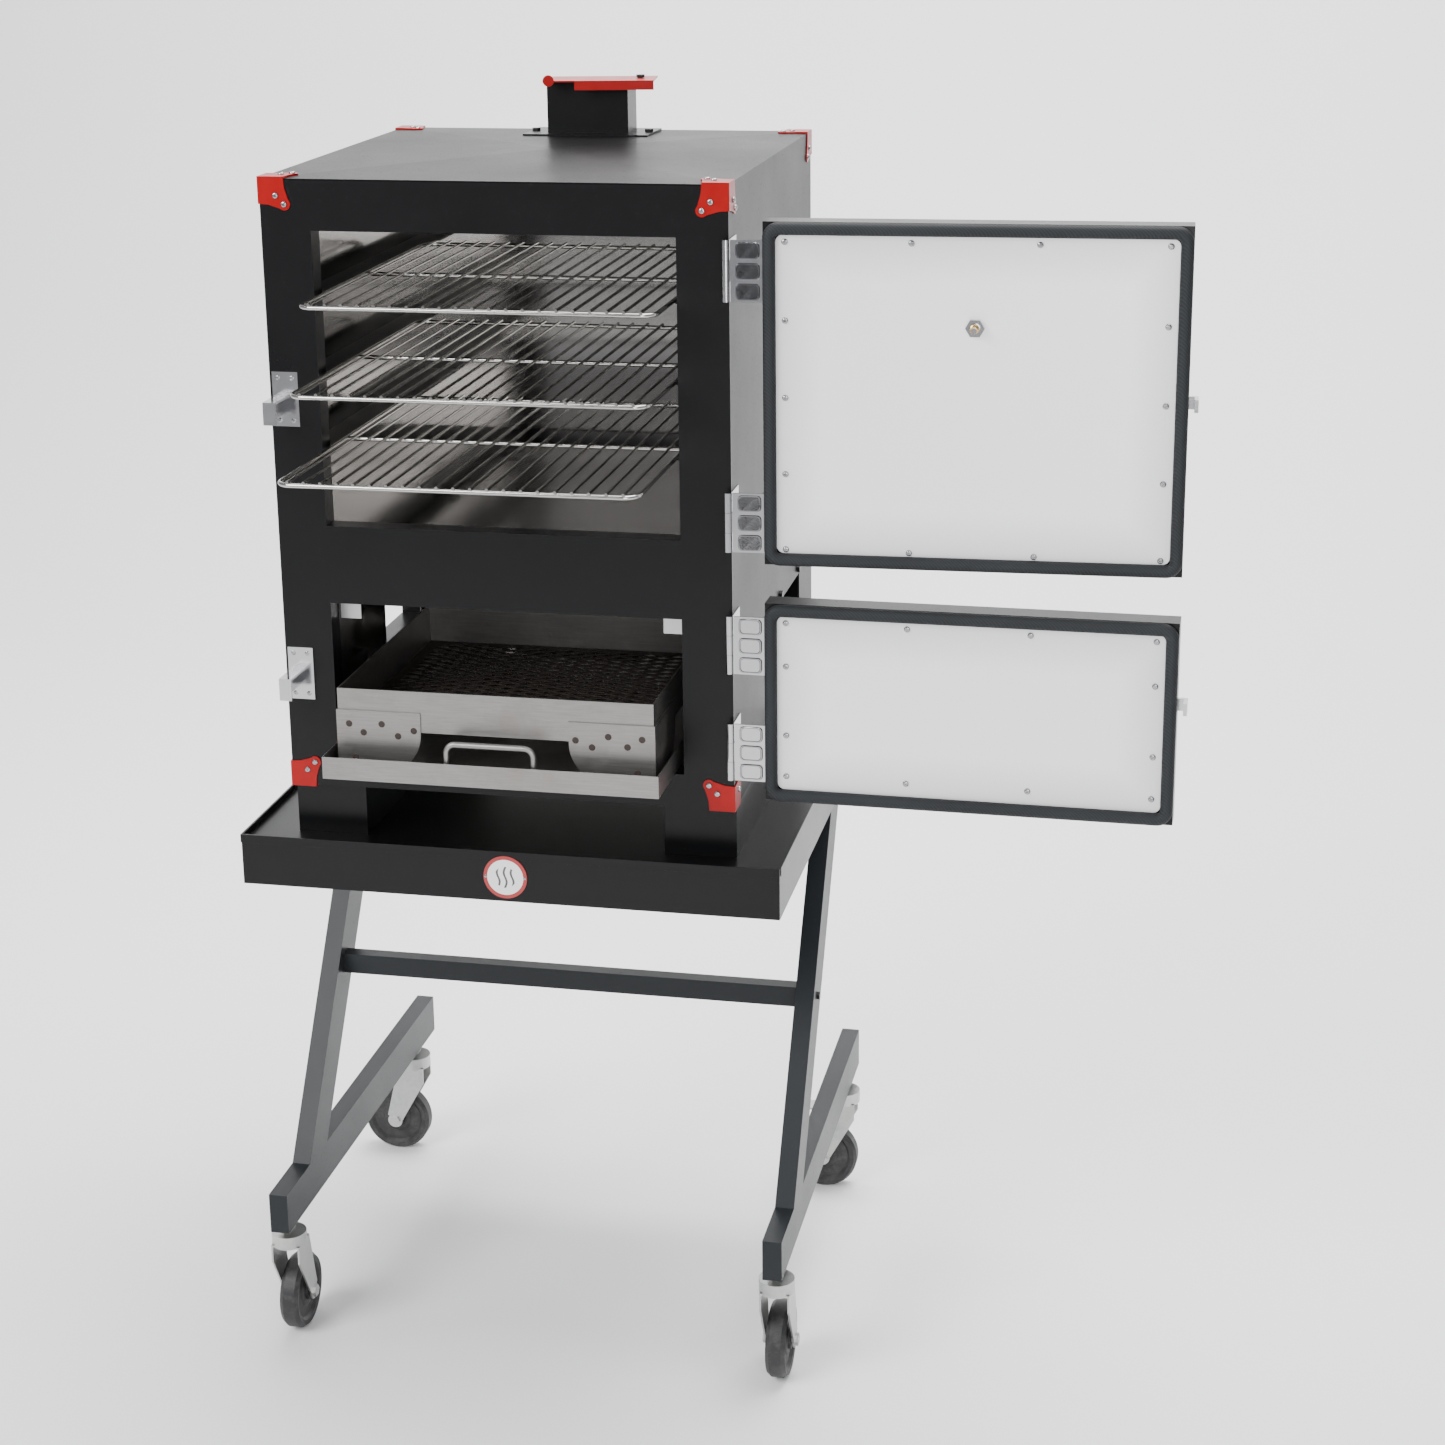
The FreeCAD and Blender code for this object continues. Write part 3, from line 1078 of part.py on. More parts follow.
def build():
    fill_sheet()
    make_walls()
    make_insulation()
    make_front_frame()
    top_panel = make_top_panel()
    skids = make_skids()
    make_brackets(top_panel, skids)
    node(group("skids_seated", [skids]), "skids")
    make_chimney(top_panel)
    make_damper()
    make_hex_bolts()
    make_runners()
    for rack in RACKS:
        make_rack(rack)
    make_deflector()
    make_ash_pan()
    make_basket()
    for door in DOORS:
        make_door_shell(door)
        make_door_liner(door)
        make_gasket(door)
        make_door_leaves(door)
        make_door_screws(door)
        make_latch(door)
    make_thermometer()
    make_frame_leaves()
    make_hinge_pins()
    make_strikes()
    make_panel_screws()
    make_tray()
    make_legs()
    make_bars()
    make_caster_stems()
    for caster, (side, end) in CASTERS.items():
        make_fork(caster, side, end)
        make_wheel(caster, side, end)
        if end == "rear":
            make_pedal(caster, side, end)
    doc.recompute()


def check():
    """Stop on any failed object, or on a node whose shape is empty or broken."""
    failed = [thing.Name for thing in doc.Objects if {"Invalid", "Error"} & set(thing.State)]
    failed += [thing.Label for thing in nodes if thing.Shape.isNull() or not thing.Shape.isValid()]
    if failed:
        raise RuntimeError("failed: " + ", ".join(failed))


def write():
    os.makedirs("parts", exist_ok=True)
    whole = FreeCAD.BoundBox()
    for thing in nodes:
        thing.Shape.exportStep(os.path.join("parts", thing.Label + ".step"))
        whole.add(thing.Shape.BoundBox)
    print(len(nodes), "nodes", whole)


build()
check()
write()
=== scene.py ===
import json
import math

import bmesh
import bpy
from mathutils import Matrix, Vector


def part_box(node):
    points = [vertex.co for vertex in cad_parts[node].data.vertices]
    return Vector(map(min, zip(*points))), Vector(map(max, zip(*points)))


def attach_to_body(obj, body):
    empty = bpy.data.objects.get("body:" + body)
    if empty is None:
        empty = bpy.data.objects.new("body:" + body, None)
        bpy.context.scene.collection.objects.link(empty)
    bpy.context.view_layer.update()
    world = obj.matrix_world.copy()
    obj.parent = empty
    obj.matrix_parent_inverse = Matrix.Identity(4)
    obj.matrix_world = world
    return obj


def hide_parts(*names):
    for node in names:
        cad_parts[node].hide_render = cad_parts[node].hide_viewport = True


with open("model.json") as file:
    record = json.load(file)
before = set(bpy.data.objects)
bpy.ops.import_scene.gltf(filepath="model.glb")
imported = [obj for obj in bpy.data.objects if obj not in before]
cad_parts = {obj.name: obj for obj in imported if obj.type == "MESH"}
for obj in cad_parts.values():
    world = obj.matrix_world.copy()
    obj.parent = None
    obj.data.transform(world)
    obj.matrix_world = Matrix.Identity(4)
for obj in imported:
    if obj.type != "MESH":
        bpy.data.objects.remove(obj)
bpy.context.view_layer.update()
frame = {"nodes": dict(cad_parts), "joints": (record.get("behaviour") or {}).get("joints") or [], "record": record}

MM = 0.001
TURN = 2 * math.pi
QUARTER = TURN / 4

# ---------------------------------------------------------------- camera

CAMERA_SPOT = Vector((0.7498, -3.5090, 2.0991))
CAMERA_YAW = 0.214
CAMERA_PITCH = 0.285
CAMERA_ROLL = -0.014
SENSOR = 36.0
LENS = 67.63
SHIFT = (0.0173, -0.0736)
FARTHEST_SEEN = 50


def make_camera():
    """Camera turned by yaw, pitch and roll, with the small shift that frames the whole smoker."""
    data = bpy.data.cameras.new("camera")
    data.sensor_width = SENSOR
    data.lens = LENS
    data.shift_x, data.shift_y = SHIFT
    data.clip_end = FARTHEST_SEEN
    sight = Vector((-math.sin(CAMERA_YAW) * math.cos(CAMERA_PITCH),
                    math.cos(CAMERA_YAW) * math.cos(CAMERA_PITCH), -math.sin(CAMERA_PITCH)))
    right = Vector((math.cos(CAMERA_YAW), math.sin(CAMERA_YAW), 0))
    above = right.cross(sight)
    rolled_right = math.cos(CAMERA_ROLL) * right + math.sin(CAMERA_ROLL) * above
    rolled_above = math.cos(CAMERA_ROLL) * above - math.sin(CAMERA_ROLL) * right
    camera = bpy.data.objects.new("camera", data)
    turn = Matrix((rolled_right, rolled_above, -sight)).transposed().to_4x4()
    camera.matrix_world = Matrix.Translation(CAMERA_SPOT) @ turn
    bpy.context.scene.collection.objects.link(camera)
    bpy.context.scene.camera = camera


# ---------------------------------------------------------------- shader sums

class Value:
    """A shader value or plain number that takes Python's operators."""

    def __init__(self, surface, socket):
        self.surface = surface
        self.socket = socket

    def sum(self, operation, *others):
        return self.surface.number(operation, self, *others)

    def __add__(self, other):
        return self.sum("ADD", other)

    def __radd__(self, other):
        return self.sum("ADD", other)

    def __sub__(self, other):
        return self.sum("SUBTRACT", other)

    def __rsub__(self, other):
        return self.surface.number("SUBTRACT", other, self)

    def __mul__(self, other):
        return self.sum("MULTIPLY", other)

    def __rmul__(self, other):
        return self.sum("MULTIPLY", other)

    def __truediv__(self, other):
        return self.sum("DIVIDE", other)

    def __gt__(self, other):
        return self.sum("GREATER_THAN", other)

    def __lt__(self, other):
        return self.sum("LESS_THAN", other)


MIX_COLORS = (6, 7)
MIX_RESULT = 2


class Surface:
    """One node material round a Principled shader."""

    def __init__(self, name, color, roughness, metallic=0.0, **fixed):
        self.material = bpy.data.materials.new(name)
        self.material.use_nodes = True
        self.tree = self.material.node_tree
        self.shader = self.tree.nodes["Principled BSDF"]
        self.shader.inputs["Base Color"].default_value = (*color, 1)
        self.shader.inputs["Roughness"].default_value = roughness
        self.shader.inputs["Metallic"].default_value = metallic
        for socket, level in fixed.items():
            self.shader.inputs[socket.replace("_", " ")].default_value = level
        self.place = self.node("ShaderNodeTexCoord").outputs["Object"]

    def node(self, kind, settings=None, **inputs):
        made = self.tree.nodes.new(kind)
        for name, setting in (settings or {}).items():
            setattr(made, name, setting)
        for name, source in inputs.items():
            self.feed(made.inputs[name.replace("_", " ")], source)
        return made

    def feed(self, socket, source):
        if isinstance(source, Value):
            source = source.socket
        if isinstance(source, bpy.types.NodeSocket):
            self.tree.links.new(source, socket)
        else:
            socket.default_value = source

    def number(self, operation, *terms):
        made = self.tree.nodes.new("ShaderNodeMath")
        made.operation = operation
        for socket, term in zip(made.inputs, terms):
            self.feed(socket, term)
        return Value(self, made.outputs[0])

    def clamp(self, value, low=0.0, high=1.0):
        return Value(self, self.node("ShaderNodeClamp", Value=value, Min=low, Max=high).outputs[0])

    def stretched(self, scale, centre=(0, 0, 0)):
        """Object coordinates, moved to a centre and scaled along each axis."""
        shift = [-away * factor for away, factor in zip(centre, scale)]
        moved = self.node("ShaderNodeMapping", Vector=self.place, Location=shift, Scale=scale)
        return moved.outputs[0]

    def noise(self, scale, detail=3.0, rough=0.5, place=None):
        made = self.node("ShaderNodeTexNoise", Vector=place or self.place, Scale=scale, Detail=detail,
                         Roughness=rough)
        return Value(self, made.outputs["Fac"])

    def cells(self, scale, place=None):
        made = self.node("ShaderNodeTexVoronoi", Vector=place or self.place, Scale=scale)
        return Value(self, made.outputs["Distance"])

    def waves(self, scale, distortion, place=None, direction="X"):
        made = self.node("ShaderNodeTexWave", {"bands_direction": direction}, Vector=place or self.place,
                         Scale=scale, Distortion=distortion)
        return Value(self, made.outputs["Fac"])

    def axes(self, place=None):
        made = self.node("ShaderNodeSeparateXYZ", Vector=place or self.place)
        return [Value(self, socket) for socket in made.outputs]

    def mix(self, share, first, second):
        made = self.node("ShaderNodeMix", {"data_type": "RGBA"})
        self.feed(made.inputs["Factor"], share)
        for index, color in zip(MIX_COLORS, (first, second)):
            self.feed(made.inputs[index], color if isinstance(color, bpy.types.NodeSocket) else (*color, 1))
        return made.outputs[MIX_RESULT]

    def set(self, socket, source):
        self.feed(self.shader.inputs[socket], source)

    def bump(self, height, depth, strength=1.0):
        made = self.node("ShaderNodeBump", Height=height, Distance=depth, Strength=strength)
        self.set("Normal", made.outputs[0])


def ramp_up(surface, value, low, high):
    """0 below low, 1 above high, and a straight rise between."""
    return surface.clamp((value - low) / (high - low))


def centre_of(low, high):
    return [(a + b) / 2 for a, b in zip(low, high)]


# ---------------------------------------------------------------- materials

# Colours are linear red, green and blue, and pattern scales are per metre. A roughness is a base level plus
# shares of the patterns.

def powder_coat(name, color, roughness, dust, gloss=0.22):
    """Satin powder coat: fine orange peel, soft gloss changes and a little dust."""
    paint = Surface(name, color, roughness, Specular_IOR_Level=gloss)
    peel = paint.noise(scale=900, detail=2)
    cloud = paint.noise(scale=5, detail=4, rough=0.6)
    speck = ramp_up(paint, paint.noise(scale=260, detail=1), low=0.66, high=0.74)
    dusty = tuple(channel + dust for channel in color)
    paint.set("Base Color", paint.mix(paint.clamp(cloud * 0.5 + speck * 0.5), color, dusty))
    paint.set("Roughness", paint.clamp(roughness - 0.07 + cloud * 0.14 + speck * 0.1))
    paint.bump(peel, depth=0.12 * MM, strength=0.35)
    return paint.material


def red_enamel():
    deep = (0.24, 0.0005, 0.001)
    bright = (0.32, 0.001, 0.0015)
    worn = (0.25, 0.02, 0.02)
    paint = Surface("red_enamel", (0.3, 0.001, 0.001), roughness=0.34, Specular_IOR_Level=0.25)
    cloud = paint.noise(scale=40, detail=3)
    wear = ramp_up(paint, paint.noise(scale=160, detail=3, rough=0.7), low=0.68, high=0.76)
    paint.set("Base Color", paint.mix(wear * 0.5, paint.mix(cloud, deep, bright), worn))
    paint.set("Roughness", paint.clamp(0.24 + cloud * 0.12 + wear * 0.3))
    paint.bump(paint.noise(scale=700, detail=2), depth=0.1 * MM, strength=0.3)
    return paint.material


def brushed_sheet(name, color, roughness, grain, streak=0.06):
    """Bright sheet with a grain of fine scratches along one axis."""
    steel = Surface(name, color, roughness, metallic=1.0)
    lines = steel.noise(scale=60, detail=4, rough=0.7, place=steel.stretched(grain))
    cloud = steel.noise(scale=3.5, detail=3)
    dark = tuple(channel * 0.86 for channel in color)
    steel.set("Base Color", steel.mix(steel.clamp(lines * 0.6 + cloud * 0.4), dark, color))
    steel.set("Roughness", steel.clamp(roughness - streak + lines * 2 * streak + cloud * 0.05))
    steel.bump(lines, depth=0.01 * MM, strength=0.3)
    return steel.material


# How far in from the liner's edges the painted shade reaches, and how softly it rounds the corners.
EDGE_SHADE = 60 * MM
CORNER_BLEND = 0.3


def door_sheet(door):
    """Satin stainless liner, pale in the middle, with painted shade that darkens it towards its rim."""
    # rim is the painted shade colour near the liner's edges; pale is the liner's own colour.
    rim = (0.66, 0.66, 0.67)
    pale = (0.93, 0.93, 0.94)
    scratch = (0.6, 0.6, 0.61)
    low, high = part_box(door + "_door_liner")
    steel = Surface(door + "_door_steel", (0.9, 0.9, 0.91), roughness=0.45, metallic=0.35)
    across, _, up = steel.axes(steel.stretched((1, 1, 1), centre_of(low, high)))
    side = ((high.x - low.x) / 2 - steel.number("ABSOLUTE", across)) / EDGE_SHADE
    end = ((high.z - low.z) / 2 - steel.number("ABSOLUTE", up)) / EDGE_SHADE
    clear_of_painted_rim_shade = steel.number("SMOOTH_MIN", steel.clamp(side), steel.clamp(end), CORNER_BLEND)
    lines = steel.noise(scale=60, detail=4, rough=0.7, place=steel.stretched((10, 10, 0.5)))
    # Painted shade: the colour falls from pale to the darker rim colour within EDGE_SHADE of each edge.
    tone = steel.mix(steel.clamp(clear_of_painted_rim_shade), rim, pale)
    steel.set("Base Color", steel.mix(lines * 0.12, tone, scratch))
    steel.set("Roughness", steel.clamp(0.38 + lines * 0.12))
    steel.bump(lines, depth=0.03 * MM, strength=0.3)
    return steel.material


def mill_steel():
    """Raw cold-rolled sheet: grey and brushed, with oil stains and specks of rust."""
    dark = (0.20, 0.195, 0.19)
    pale = (0.36, 0.35, 0.34)
    oil = (0.24, 0.20, 0.17)
    brown = (0.20, 0.09, 0.05)
    steel = Surface("mill_steel", (0.40, 0.385, 0.37), roughness=0.42, metallic=1.0)
    lines = steel.noise(scale=50, detail=4, rough=0.7, place=steel.stretched((0.6, 12, 12)))
    stain = ramp_up(steel, steel.noise(scale=14, detail=5, rough=0.65), low=0.5, high=0.72)
    rust = ramp_up(steel, steel.noise(scale=55, detail=4, rough=0.7), low=0.68, high=0.78)
    tone = steel.mix(stain * 0.45, steel.mix(lines, dark, pale), oil)
    steel.set("Base Color", steel.mix(rust * 0.35, tone, brown))
    steel.set("Roughness", steel.clamp(0.34 + lines * 0.14 + stain * 0.12))
    steel.bump(lines + steel.noise(scale=300, detail=2) * 0.4, depth=0.08 * MM, strength=0.4)
    return steel.material


def black_grate():
    dark = (0.012, 0.011, 0.011)
    rusty = (0.06, 0.045, 0.038)
    iron = Surface("black_grate", (0.02, 0.018, 0.017), roughness=0.62, metallic=0.6)
    scaling = iron.noise(scale=120, detail=4, rough=0.7)
    iron.set("Base Color", iron.mix(scaling, dark, rusty))
    iron.set("Roughness", iron.clamp(0.45 + scaling * 0.35))
    iron.bump(scaling, depth=0.4 * MM, strength=0.5)
    return iron.material


def chrome(name, color, roughness):
    metal = Surface(name, color, roughness, metallic=1.0)
    smear = metal.noise(scale=90, detail=3, rough=0.6)
    smeared = tuple(channel * 0.88 for channel in color)
    metal.set("Base Color", metal.mix(smear, smeared, color))
    metal.set("Roughness", metal.clamp(roughness * 0.6 + smear * roughness * 0.9))
    metal.bump(metal.noise(scale=400, detail=2), depth=0.03 * MM, strength=0.3)
    return metal.material


def zinc_plate():
    """Bright zinc with cloudy crystals and a trace of yellow."""
    blue = (0.30, 0.32, 0.34)
    yellow = (0.56, 0.55, 0.50)
    bright = (0.62, 0.63, 0.62)
    zinc = Surface("zinc_plate", (0.66, 0.67, 0.66), roughness=0.3, metallic=1.0)
    cloud = zinc.noise(scale=30, detail=4, rough=0.6)
    crystal = zinc.cells(scale=160)
    zinc.set("Base Color", zinc.mix(crystal * 0.3, zinc.mix(cloud, blue, yellow), bright))
    zinc.set("Roughness", zinc.clamp(0.2 + cloud * 0.22 + crystal * 0.1))
    zinc.bump(cloud + crystal * 0.3, depth=0.1 * MM, strength=0.35)
    return zinc.material


def seal_rope():
    """Coated glass rope: dull charcoal with a slanting braid."""
    dark = (0.009, 0.010, 0.011)
    pale = (0.020, 0.022, 0.024)
    strand = (0.035, 0.038, 0.041)
    rope = Surface("seal_rope", (0.008, 0.009, 0.010), roughness=0.6, Specular_IOR_Level=0.18)
    braid = rope.waves(scale=130, distortion=1.2, direction="DIAGONAL")
    fuzz = rope.noise(scale=380, detail=3)
    cloud = rope.noise(scale=9, detail=3)
    rope.set("Base Color", rope.mix(braid * 0.35, rope.mix(cloud, dark, pale), strand))
    rope.set("Roughness", rope.clamp(0.5 + fuzz * 0.2))
    rope.bump(braid * 0.7 + fuzz * 0.3, depth=0.5 * MM, strength=0.45)
    return rope.material


def tyre_rubber():
    black = (0.018, 0.018, 0.019)
    dusty = (0.085, 0.08, 0.076)
    rubber = Surface("tyre_rubber", (0.022, 0.022, 0.023), roughness=0.58, Specular_IOR_Level=0.4)
    dust = ramp_up(rubber, rubber.noise(scale=70, detail=5, rough=0.7), low=0.45, high=0.75)
    grit = rubber.noise(scale=500, detail=2)
    rubber.set("Base Color", rubber.mix(dust * 0.6, black, dusty))
    rubber.set("Roughness", rubber.clamp(0.46 + dust * 0.3))
    rubber.bump(grit + dust * 0.5, depth=0.3 * MM, strength=0.4)
    return rubber.material


BADGE_RIM = 0.83
BADGE_FIELD = 0.5
SMOKE_WAVES = 38
SMOKE_SWAY = 0.06
SMOKE_GAP = 0.16
SMOKE_WIDTH = 0.05


def badge_enamel():
    """Red rim, pale field and wavy bands of smoke.

    The waves are counted per metre. The rest is in shares of the badge's radius.
    """
    red = (0.3, 0.001, 0.0015)
    pale = (0.72, 0.73, 0.72)
    smoke = (0.05, 0.05, 0.05)
    low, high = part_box("badge")
    radius = (high[0] - low[0]) / 2
    plate = Surface("badge_enamel", (0.7, 0.7, 0.68), roughness=0.3, Coat_Weight=0.6, Coat_Roughness=0.08)
    across, _, up = plate.axes(plate.stretched((1, 1, 1), centre_of(low, high)))
    reach = plate.number("SQRT", across * across + up * up)
    rim = reach > radius * BADGE_RIM
    inner = reach < radius * BADGE_FIELD
    ripple = plate.number("SINE", up * (TURN * SMOKE_WAVES)) * (radius * SMOKE_SWAY)
    band = plate.number("PINGPONG", across + ripple, radius * SMOKE_GAP) < radius * SMOKE_WIDTH
    plate.set("Base Color", plate.mix(rim, plate.mix(band * inner, pale, smoke), red))
    plate.set("Roughness", plate.clamp(0.25 + plate.noise(scale=200, detail=2) * 0.1))
    return plate.material


def insulation_wool():
    shaded = (0.4, 0.33, 0.18)
    pale = (0.6, 0.52, 0.33)
    wool = Surface("insulation_wool", (0.5, 0.42, 0.25), roughness=0.95)
    fibre = wool.noise(scale=180, detail=5, rough=0.8)
    wool.set("Base Color", wool.mix(fibre, shaded, pale))
    wool.bump(fibre, depth=2 * MM, strength=0.6)
    return wool.material


def floor_paint():
    ground = Surface("floor_paint", (0.86, 0.86, 0.86), roughness=0.9)
    ground.set("Roughness", ground.clamp(0.85 + ground.noise(scale=2, detail=2) * 0.1))
    return ground.material


NODE_FINISH = {
    "wall_paint": ["left_skin", "right_skin", "back_skin", "top_panel"],
    "cabinet_paint": ["front_frame", "chimney", "deck_tray", "skids", "upper_door_shell",
                      "lower_door_shell"],
    "cart_paint": ["left_leg", "right_leg", "crossbar", "left_base_bar", "right_base_bar"],
    "runner_paint": ["rack_runners"],
    "black_oxide": ["hex_bolts"],
    "red_enamel": ["corner_brackets", "damper_plate"],
    "chamber_steel": ["left_liner", "right_liner", "back_liner", "ceiling_liner", "chamber_floor",
                      "firebox_floor"],
    "deflector_steel": ["heat_deflector"],
    "upper_door_steel": ["upper_door_liner"],
    "lower_door_steel": ["lower_door_liner"],
    "mill_steel": ["ash_pan", "charcoal_basket"],
    "black_grate": ["basket_grate"],
    "rack_chrome": ["rack_low", "rack_middle", "rack_high"],
    "hardware_chrome": ["frame_hinge_leaves", "hinge_pins", "upper_door_leaves", "lower_door_leaves",
                        "latch_strikes", "upper_latch", "lower_latch", "panel_screws",
                        "upper_door_screws", "lower_door_screws", "thermometer"],
    "zinc_plate": ["caster_stems", "front_left_fork", "front_right_fork", "rear_left_fork",
                   "rear_right_fork", "rear_left_brake", "rear_right_brake"],
    "tyre_rubber": ["front_left_wheel", "front_right_wheel", "rear_left_wheel", "rear_right_wheel"],
    "seal_rope": ["upper_gasket", "lower_gasket"],
    "badge_enamel": ["badge"],
    "insulation_wool": ["wall_insulation"],
}


def make_finishes():
    return {
        "cabinet_paint": powder_coat("cabinet_paint", (0.0025, 0.0025, 0.003), 0.3, 0.003),
        "wall_paint": powder_coat("wall_paint", (0.003, 0.003, 0.0035), 0.34, 0.004, 0.09),
        "cart_paint": powder_coat("cart_paint", (0.010, 0.012, 0.014), 0.36, 0.008),
        "runner_paint": powder_coat("runner_paint", (0.01, 0.01, 0.01), 0.5, 0.01),
        "black_oxide": powder_coat("black_oxide", (0.012, 0.012, 0.012), 0.35, 0.004),
        "red_enamel": red_enamel(),
        "chamber_steel": brushed_sheet("chamber_steel", (0.34, 0.33, 0.32), 0.1, (6, 6, 0.4), 0.03),
        "deflector_steel": brushed_sheet("deflector_steel", (0.6, 0.59, 0.58), 0.34, (0.5, 8, 8)),
        "upper_door_steel": door_sheet("upper"),
        "lower_door_steel": door_sheet("lower"),
        "mill_steel": mill_steel(),
        "black_grate": black_grate(),
        "rack_chrome": chrome("rack_chrome", (0.46, 0.45, 0.43), 0.14),
        "hardware_chrome": chrome("hardware_chrome", (0.5, 0.5, 0.51), 0.14),
        # A darker copy of the hinge chrome for the leaf pressings: painted dark reflection.
        "leaf_chrome_painted_reflection": chrome("leaf_chrome_painted_reflection", (0.3, 0.3, 0.31), 0.1),
        "zinc_plate": zinc_plate(),
        "tyre_rubber": tyre_rubber(),
        "seal_rope": seal_rope(),
        "badge_enamel": badge_enamel(),
        "insulation_wool": insulation_wool(),
        "screw_steel": chrome("screw_steel", (0.36, 0.36, 0.37), 0.22),
        "brass": chrome("brass", (0.72, 0.5, 0.22), 0.25),
        "gauge_white": powder_coat("gauge_white", (0.7, 0.7, 0.68), 0.4, 0.05),
        "scorched_weld": powder_coat("scorched_weld", (0.035, 0.025, 0.022), 0.55, 0.02),
    }


def dress(piece, material):
    piece.data.materials.clear()
    piece.data.materials.append(material)


def dress_nodes(finishes):
    for finish, names in NODE_FINISH.items():
        for name in names:
            dress(frame["nodes"][name], finishes[finish])


# ---------------------------------------------------------------- studio

FLOOR_HALF = 9.0
SWEEP_START = 3.0
SWEEP_RADIUS = 2.5
SWEEP_STEPS = 12
BACKDROP_HEIGHT = 9.0


def make_floor():
    """Pale floor that sweeps up behind the smoker."""
    mesh = bmesh.new()
    profile = [(-FLOOR_HALF, 0.0), (SWEEP_START, 0.0)]
    for step in range(1, SWEEP_STEPS + 1):
        angle = step / SWEEP_STEPS * QUARTER
        along = SWEEP_START + SWEEP_RADIUS * math.sin(angle)
        profile.append((along, SWEEP_RADIUS * (1 - math.cos(angle))))
    profile.append((SWEEP_START + SWEEP_RADIUS, BACKDROP_HEIGHT))
    rows = []
    for along, up in profile:
        rows.append([mesh.verts.new((across, along, up)) for across in (-FLOOR_HALF, FLOOR_HALF)])
    for near, far in zip(rows, rows[1:]):
        mesh.faces.new((near[0], near[1], far[1], far[0]))
    bmesh.ops.recalc_face_normals(mesh, faces=mesh.faces)
    for face in mesh.faces:
        face.smooth = True
    keep(mesh, "floor", floor_paint())


def keep(mesh, name, material):
    """Turn finished mesh work into an object that stands at the origin."""
    data = bpy.data.meshes.new(name)
    mesh.to_mesh(data)
    mesh.free()
    piece = bpy.data.objects.new(name, data)
    bpy.context.scene.collection.objects.link(piece)
    dress(piece, material)
    return piece


SKY_COLOR = (0.95, 0.96, 1.0, 1)
SKY_STRENGTH = 0.5
LIGHTS = (
    {"name": "key", "spot": (-2.6, -3.4, 3.6), "aim": (0, 0, 0.9), "size": (2.4, 2.4), "watts": 260},
    {"name": "fill", "spot": (1.4, -4.2, 1.8), "aim": (0.1, 0, 0.9), "size": (1.6, 2.2), "watts": 90},
    {"name": "top", "spot": (0.4, 0.6, 4.4), "aim": (0, 0, 0.8), "size": (3.0, 2.2), "watts": 240},
    {"name": "backdrop_wash", "spot": (0, 1.6, 4.6), "aim": (0, 5.5, 1.6), "size": (6.0, 1.5), "watts": 420},
)


def soft_light(name, spot, aim, size, watts):
    """A rectangular lamp at a spot, aimed at a point."""
    data = bpy.data.lights.new(name, "AREA")
    data.shape = "RECTANGLE"
    data.size, data.size_y = size
    data.energy = watts
    lamp = bpy.data.objects.new(name, data)
    lamp.location = spot
    lamp.rotation_euler = (Vector(aim) - Vector(spot)).to_track_quat("-Z", "Y").to_euler()
    bpy.context.scene.collection.objects.link(lamp)


def make_studio():
    world = bpy.data.worlds.new("studio")
    world.use_nodes = True
    sky = world.node_tree.nodes["Background"]
    sky.inputs["Color"].default_value = SKY_COLOR
    sky.inputs["Strength"].default_value = SKY_STRENGTH
    bpy.context.scene.world = world
    for light in LIGHTS:
        soft_light(**light)


# ---------------------------------------------------------------- places taken from the frame

CART = "cabinet_and_cart"
DOORS = ("upper", "lower")
WELD_DISTANCE = 1e-6


def span(points):
    """Low and high corners of some points."""
    low = Vector(min(point[axis] for point in points) for axis in range(3))
    high = Vector(max(point[axis] for point in points) for axis in range(3))
    return low, high


def loose_parts(node):
    """Low and high corners of each separate solid of a CAD node."""
    work = bmesh.new()
    work.from_mesh(frame["nodes"][node].data)
    bmesh.ops.remove_doubles(work, verts=work.verts, dist=WELD_DISTANCE)
    seen = set()
    corners = []
    for start in work.verts:
        if start in seen:
            continue
        seen.add(start)
        front = [start]
        points = []
        while front:
            vertex = front.pop()
            points.append(vertex.co.copy())
            for edge in vertex.link_edges:
                other = edge.other_vert(vertex)
                if other not in seen:
                    seen.add(other)
                    front.append(other)
        corners.append(span(points))
    work.free()
    return corners


def door_place(door):
    """A matrix on the hinge line, with X to the door's free edge, Y to its outer face and Z up."""
    joint = next(item for item in frame["joints"] if item["name"] == door + "_door_hinge")
    swing = math.radians(-joint["range_deg"][0] - 180)
    spot = Vector(joint["pos_m"])
    spot.z = 0
    return Matrix.Translation(spot) @ Matrix.Rotation(swing, 4, "Z")


def door_box(door, node):
    """Low and high corners of a node in its door's own directions."""
    back = door_place(door).inverted()
    return span([back @ vertex.co for vertex in frame["nodes"][node].data.vertices])


def attach(mesh, name, material, body, place=None, smooth=True):
    """Finish a piece: normals out, shading, finish, body and material slot."""
    if place is not None:
        bmesh.ops.transform(mesh, matrix=place, verts=mesh.verts)
    bmesh.ops.recalc_face_normals(mesh, faces=mesh.faces)
    for face in mesh.faces:
        face.smooth = smooth
    piece = keep(mesh, name, material)
    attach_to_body(piece, body)
    return piece


# ---------------------------------------------------------------- building blocks

def join(mesh, part, place):
    """Move finished mesh work by a matrix and add it to a mesh."""
    bmesh.ops.transform(part, matrix=place, verts=part.verts)
    data = bpy.data.meshes.new("part")
    part.to_mesh(data)
    part.free()
    mesh.from_mesh(data)
    bpy.data.meshes.remove(data)


def ring(mesh, radius, level, segments):
    """The edges of a new circle about Z."""
    made = bmesh.ops.create_circle(mesh, segments=segments, radius=radius,
                                   matrix=Matrix.Translation((0, 0, level)))
    verts = made["verts"]
    return [edge for edge in mesh.edges if edge.verts[0] in verts and edge.verts[1] in verts]


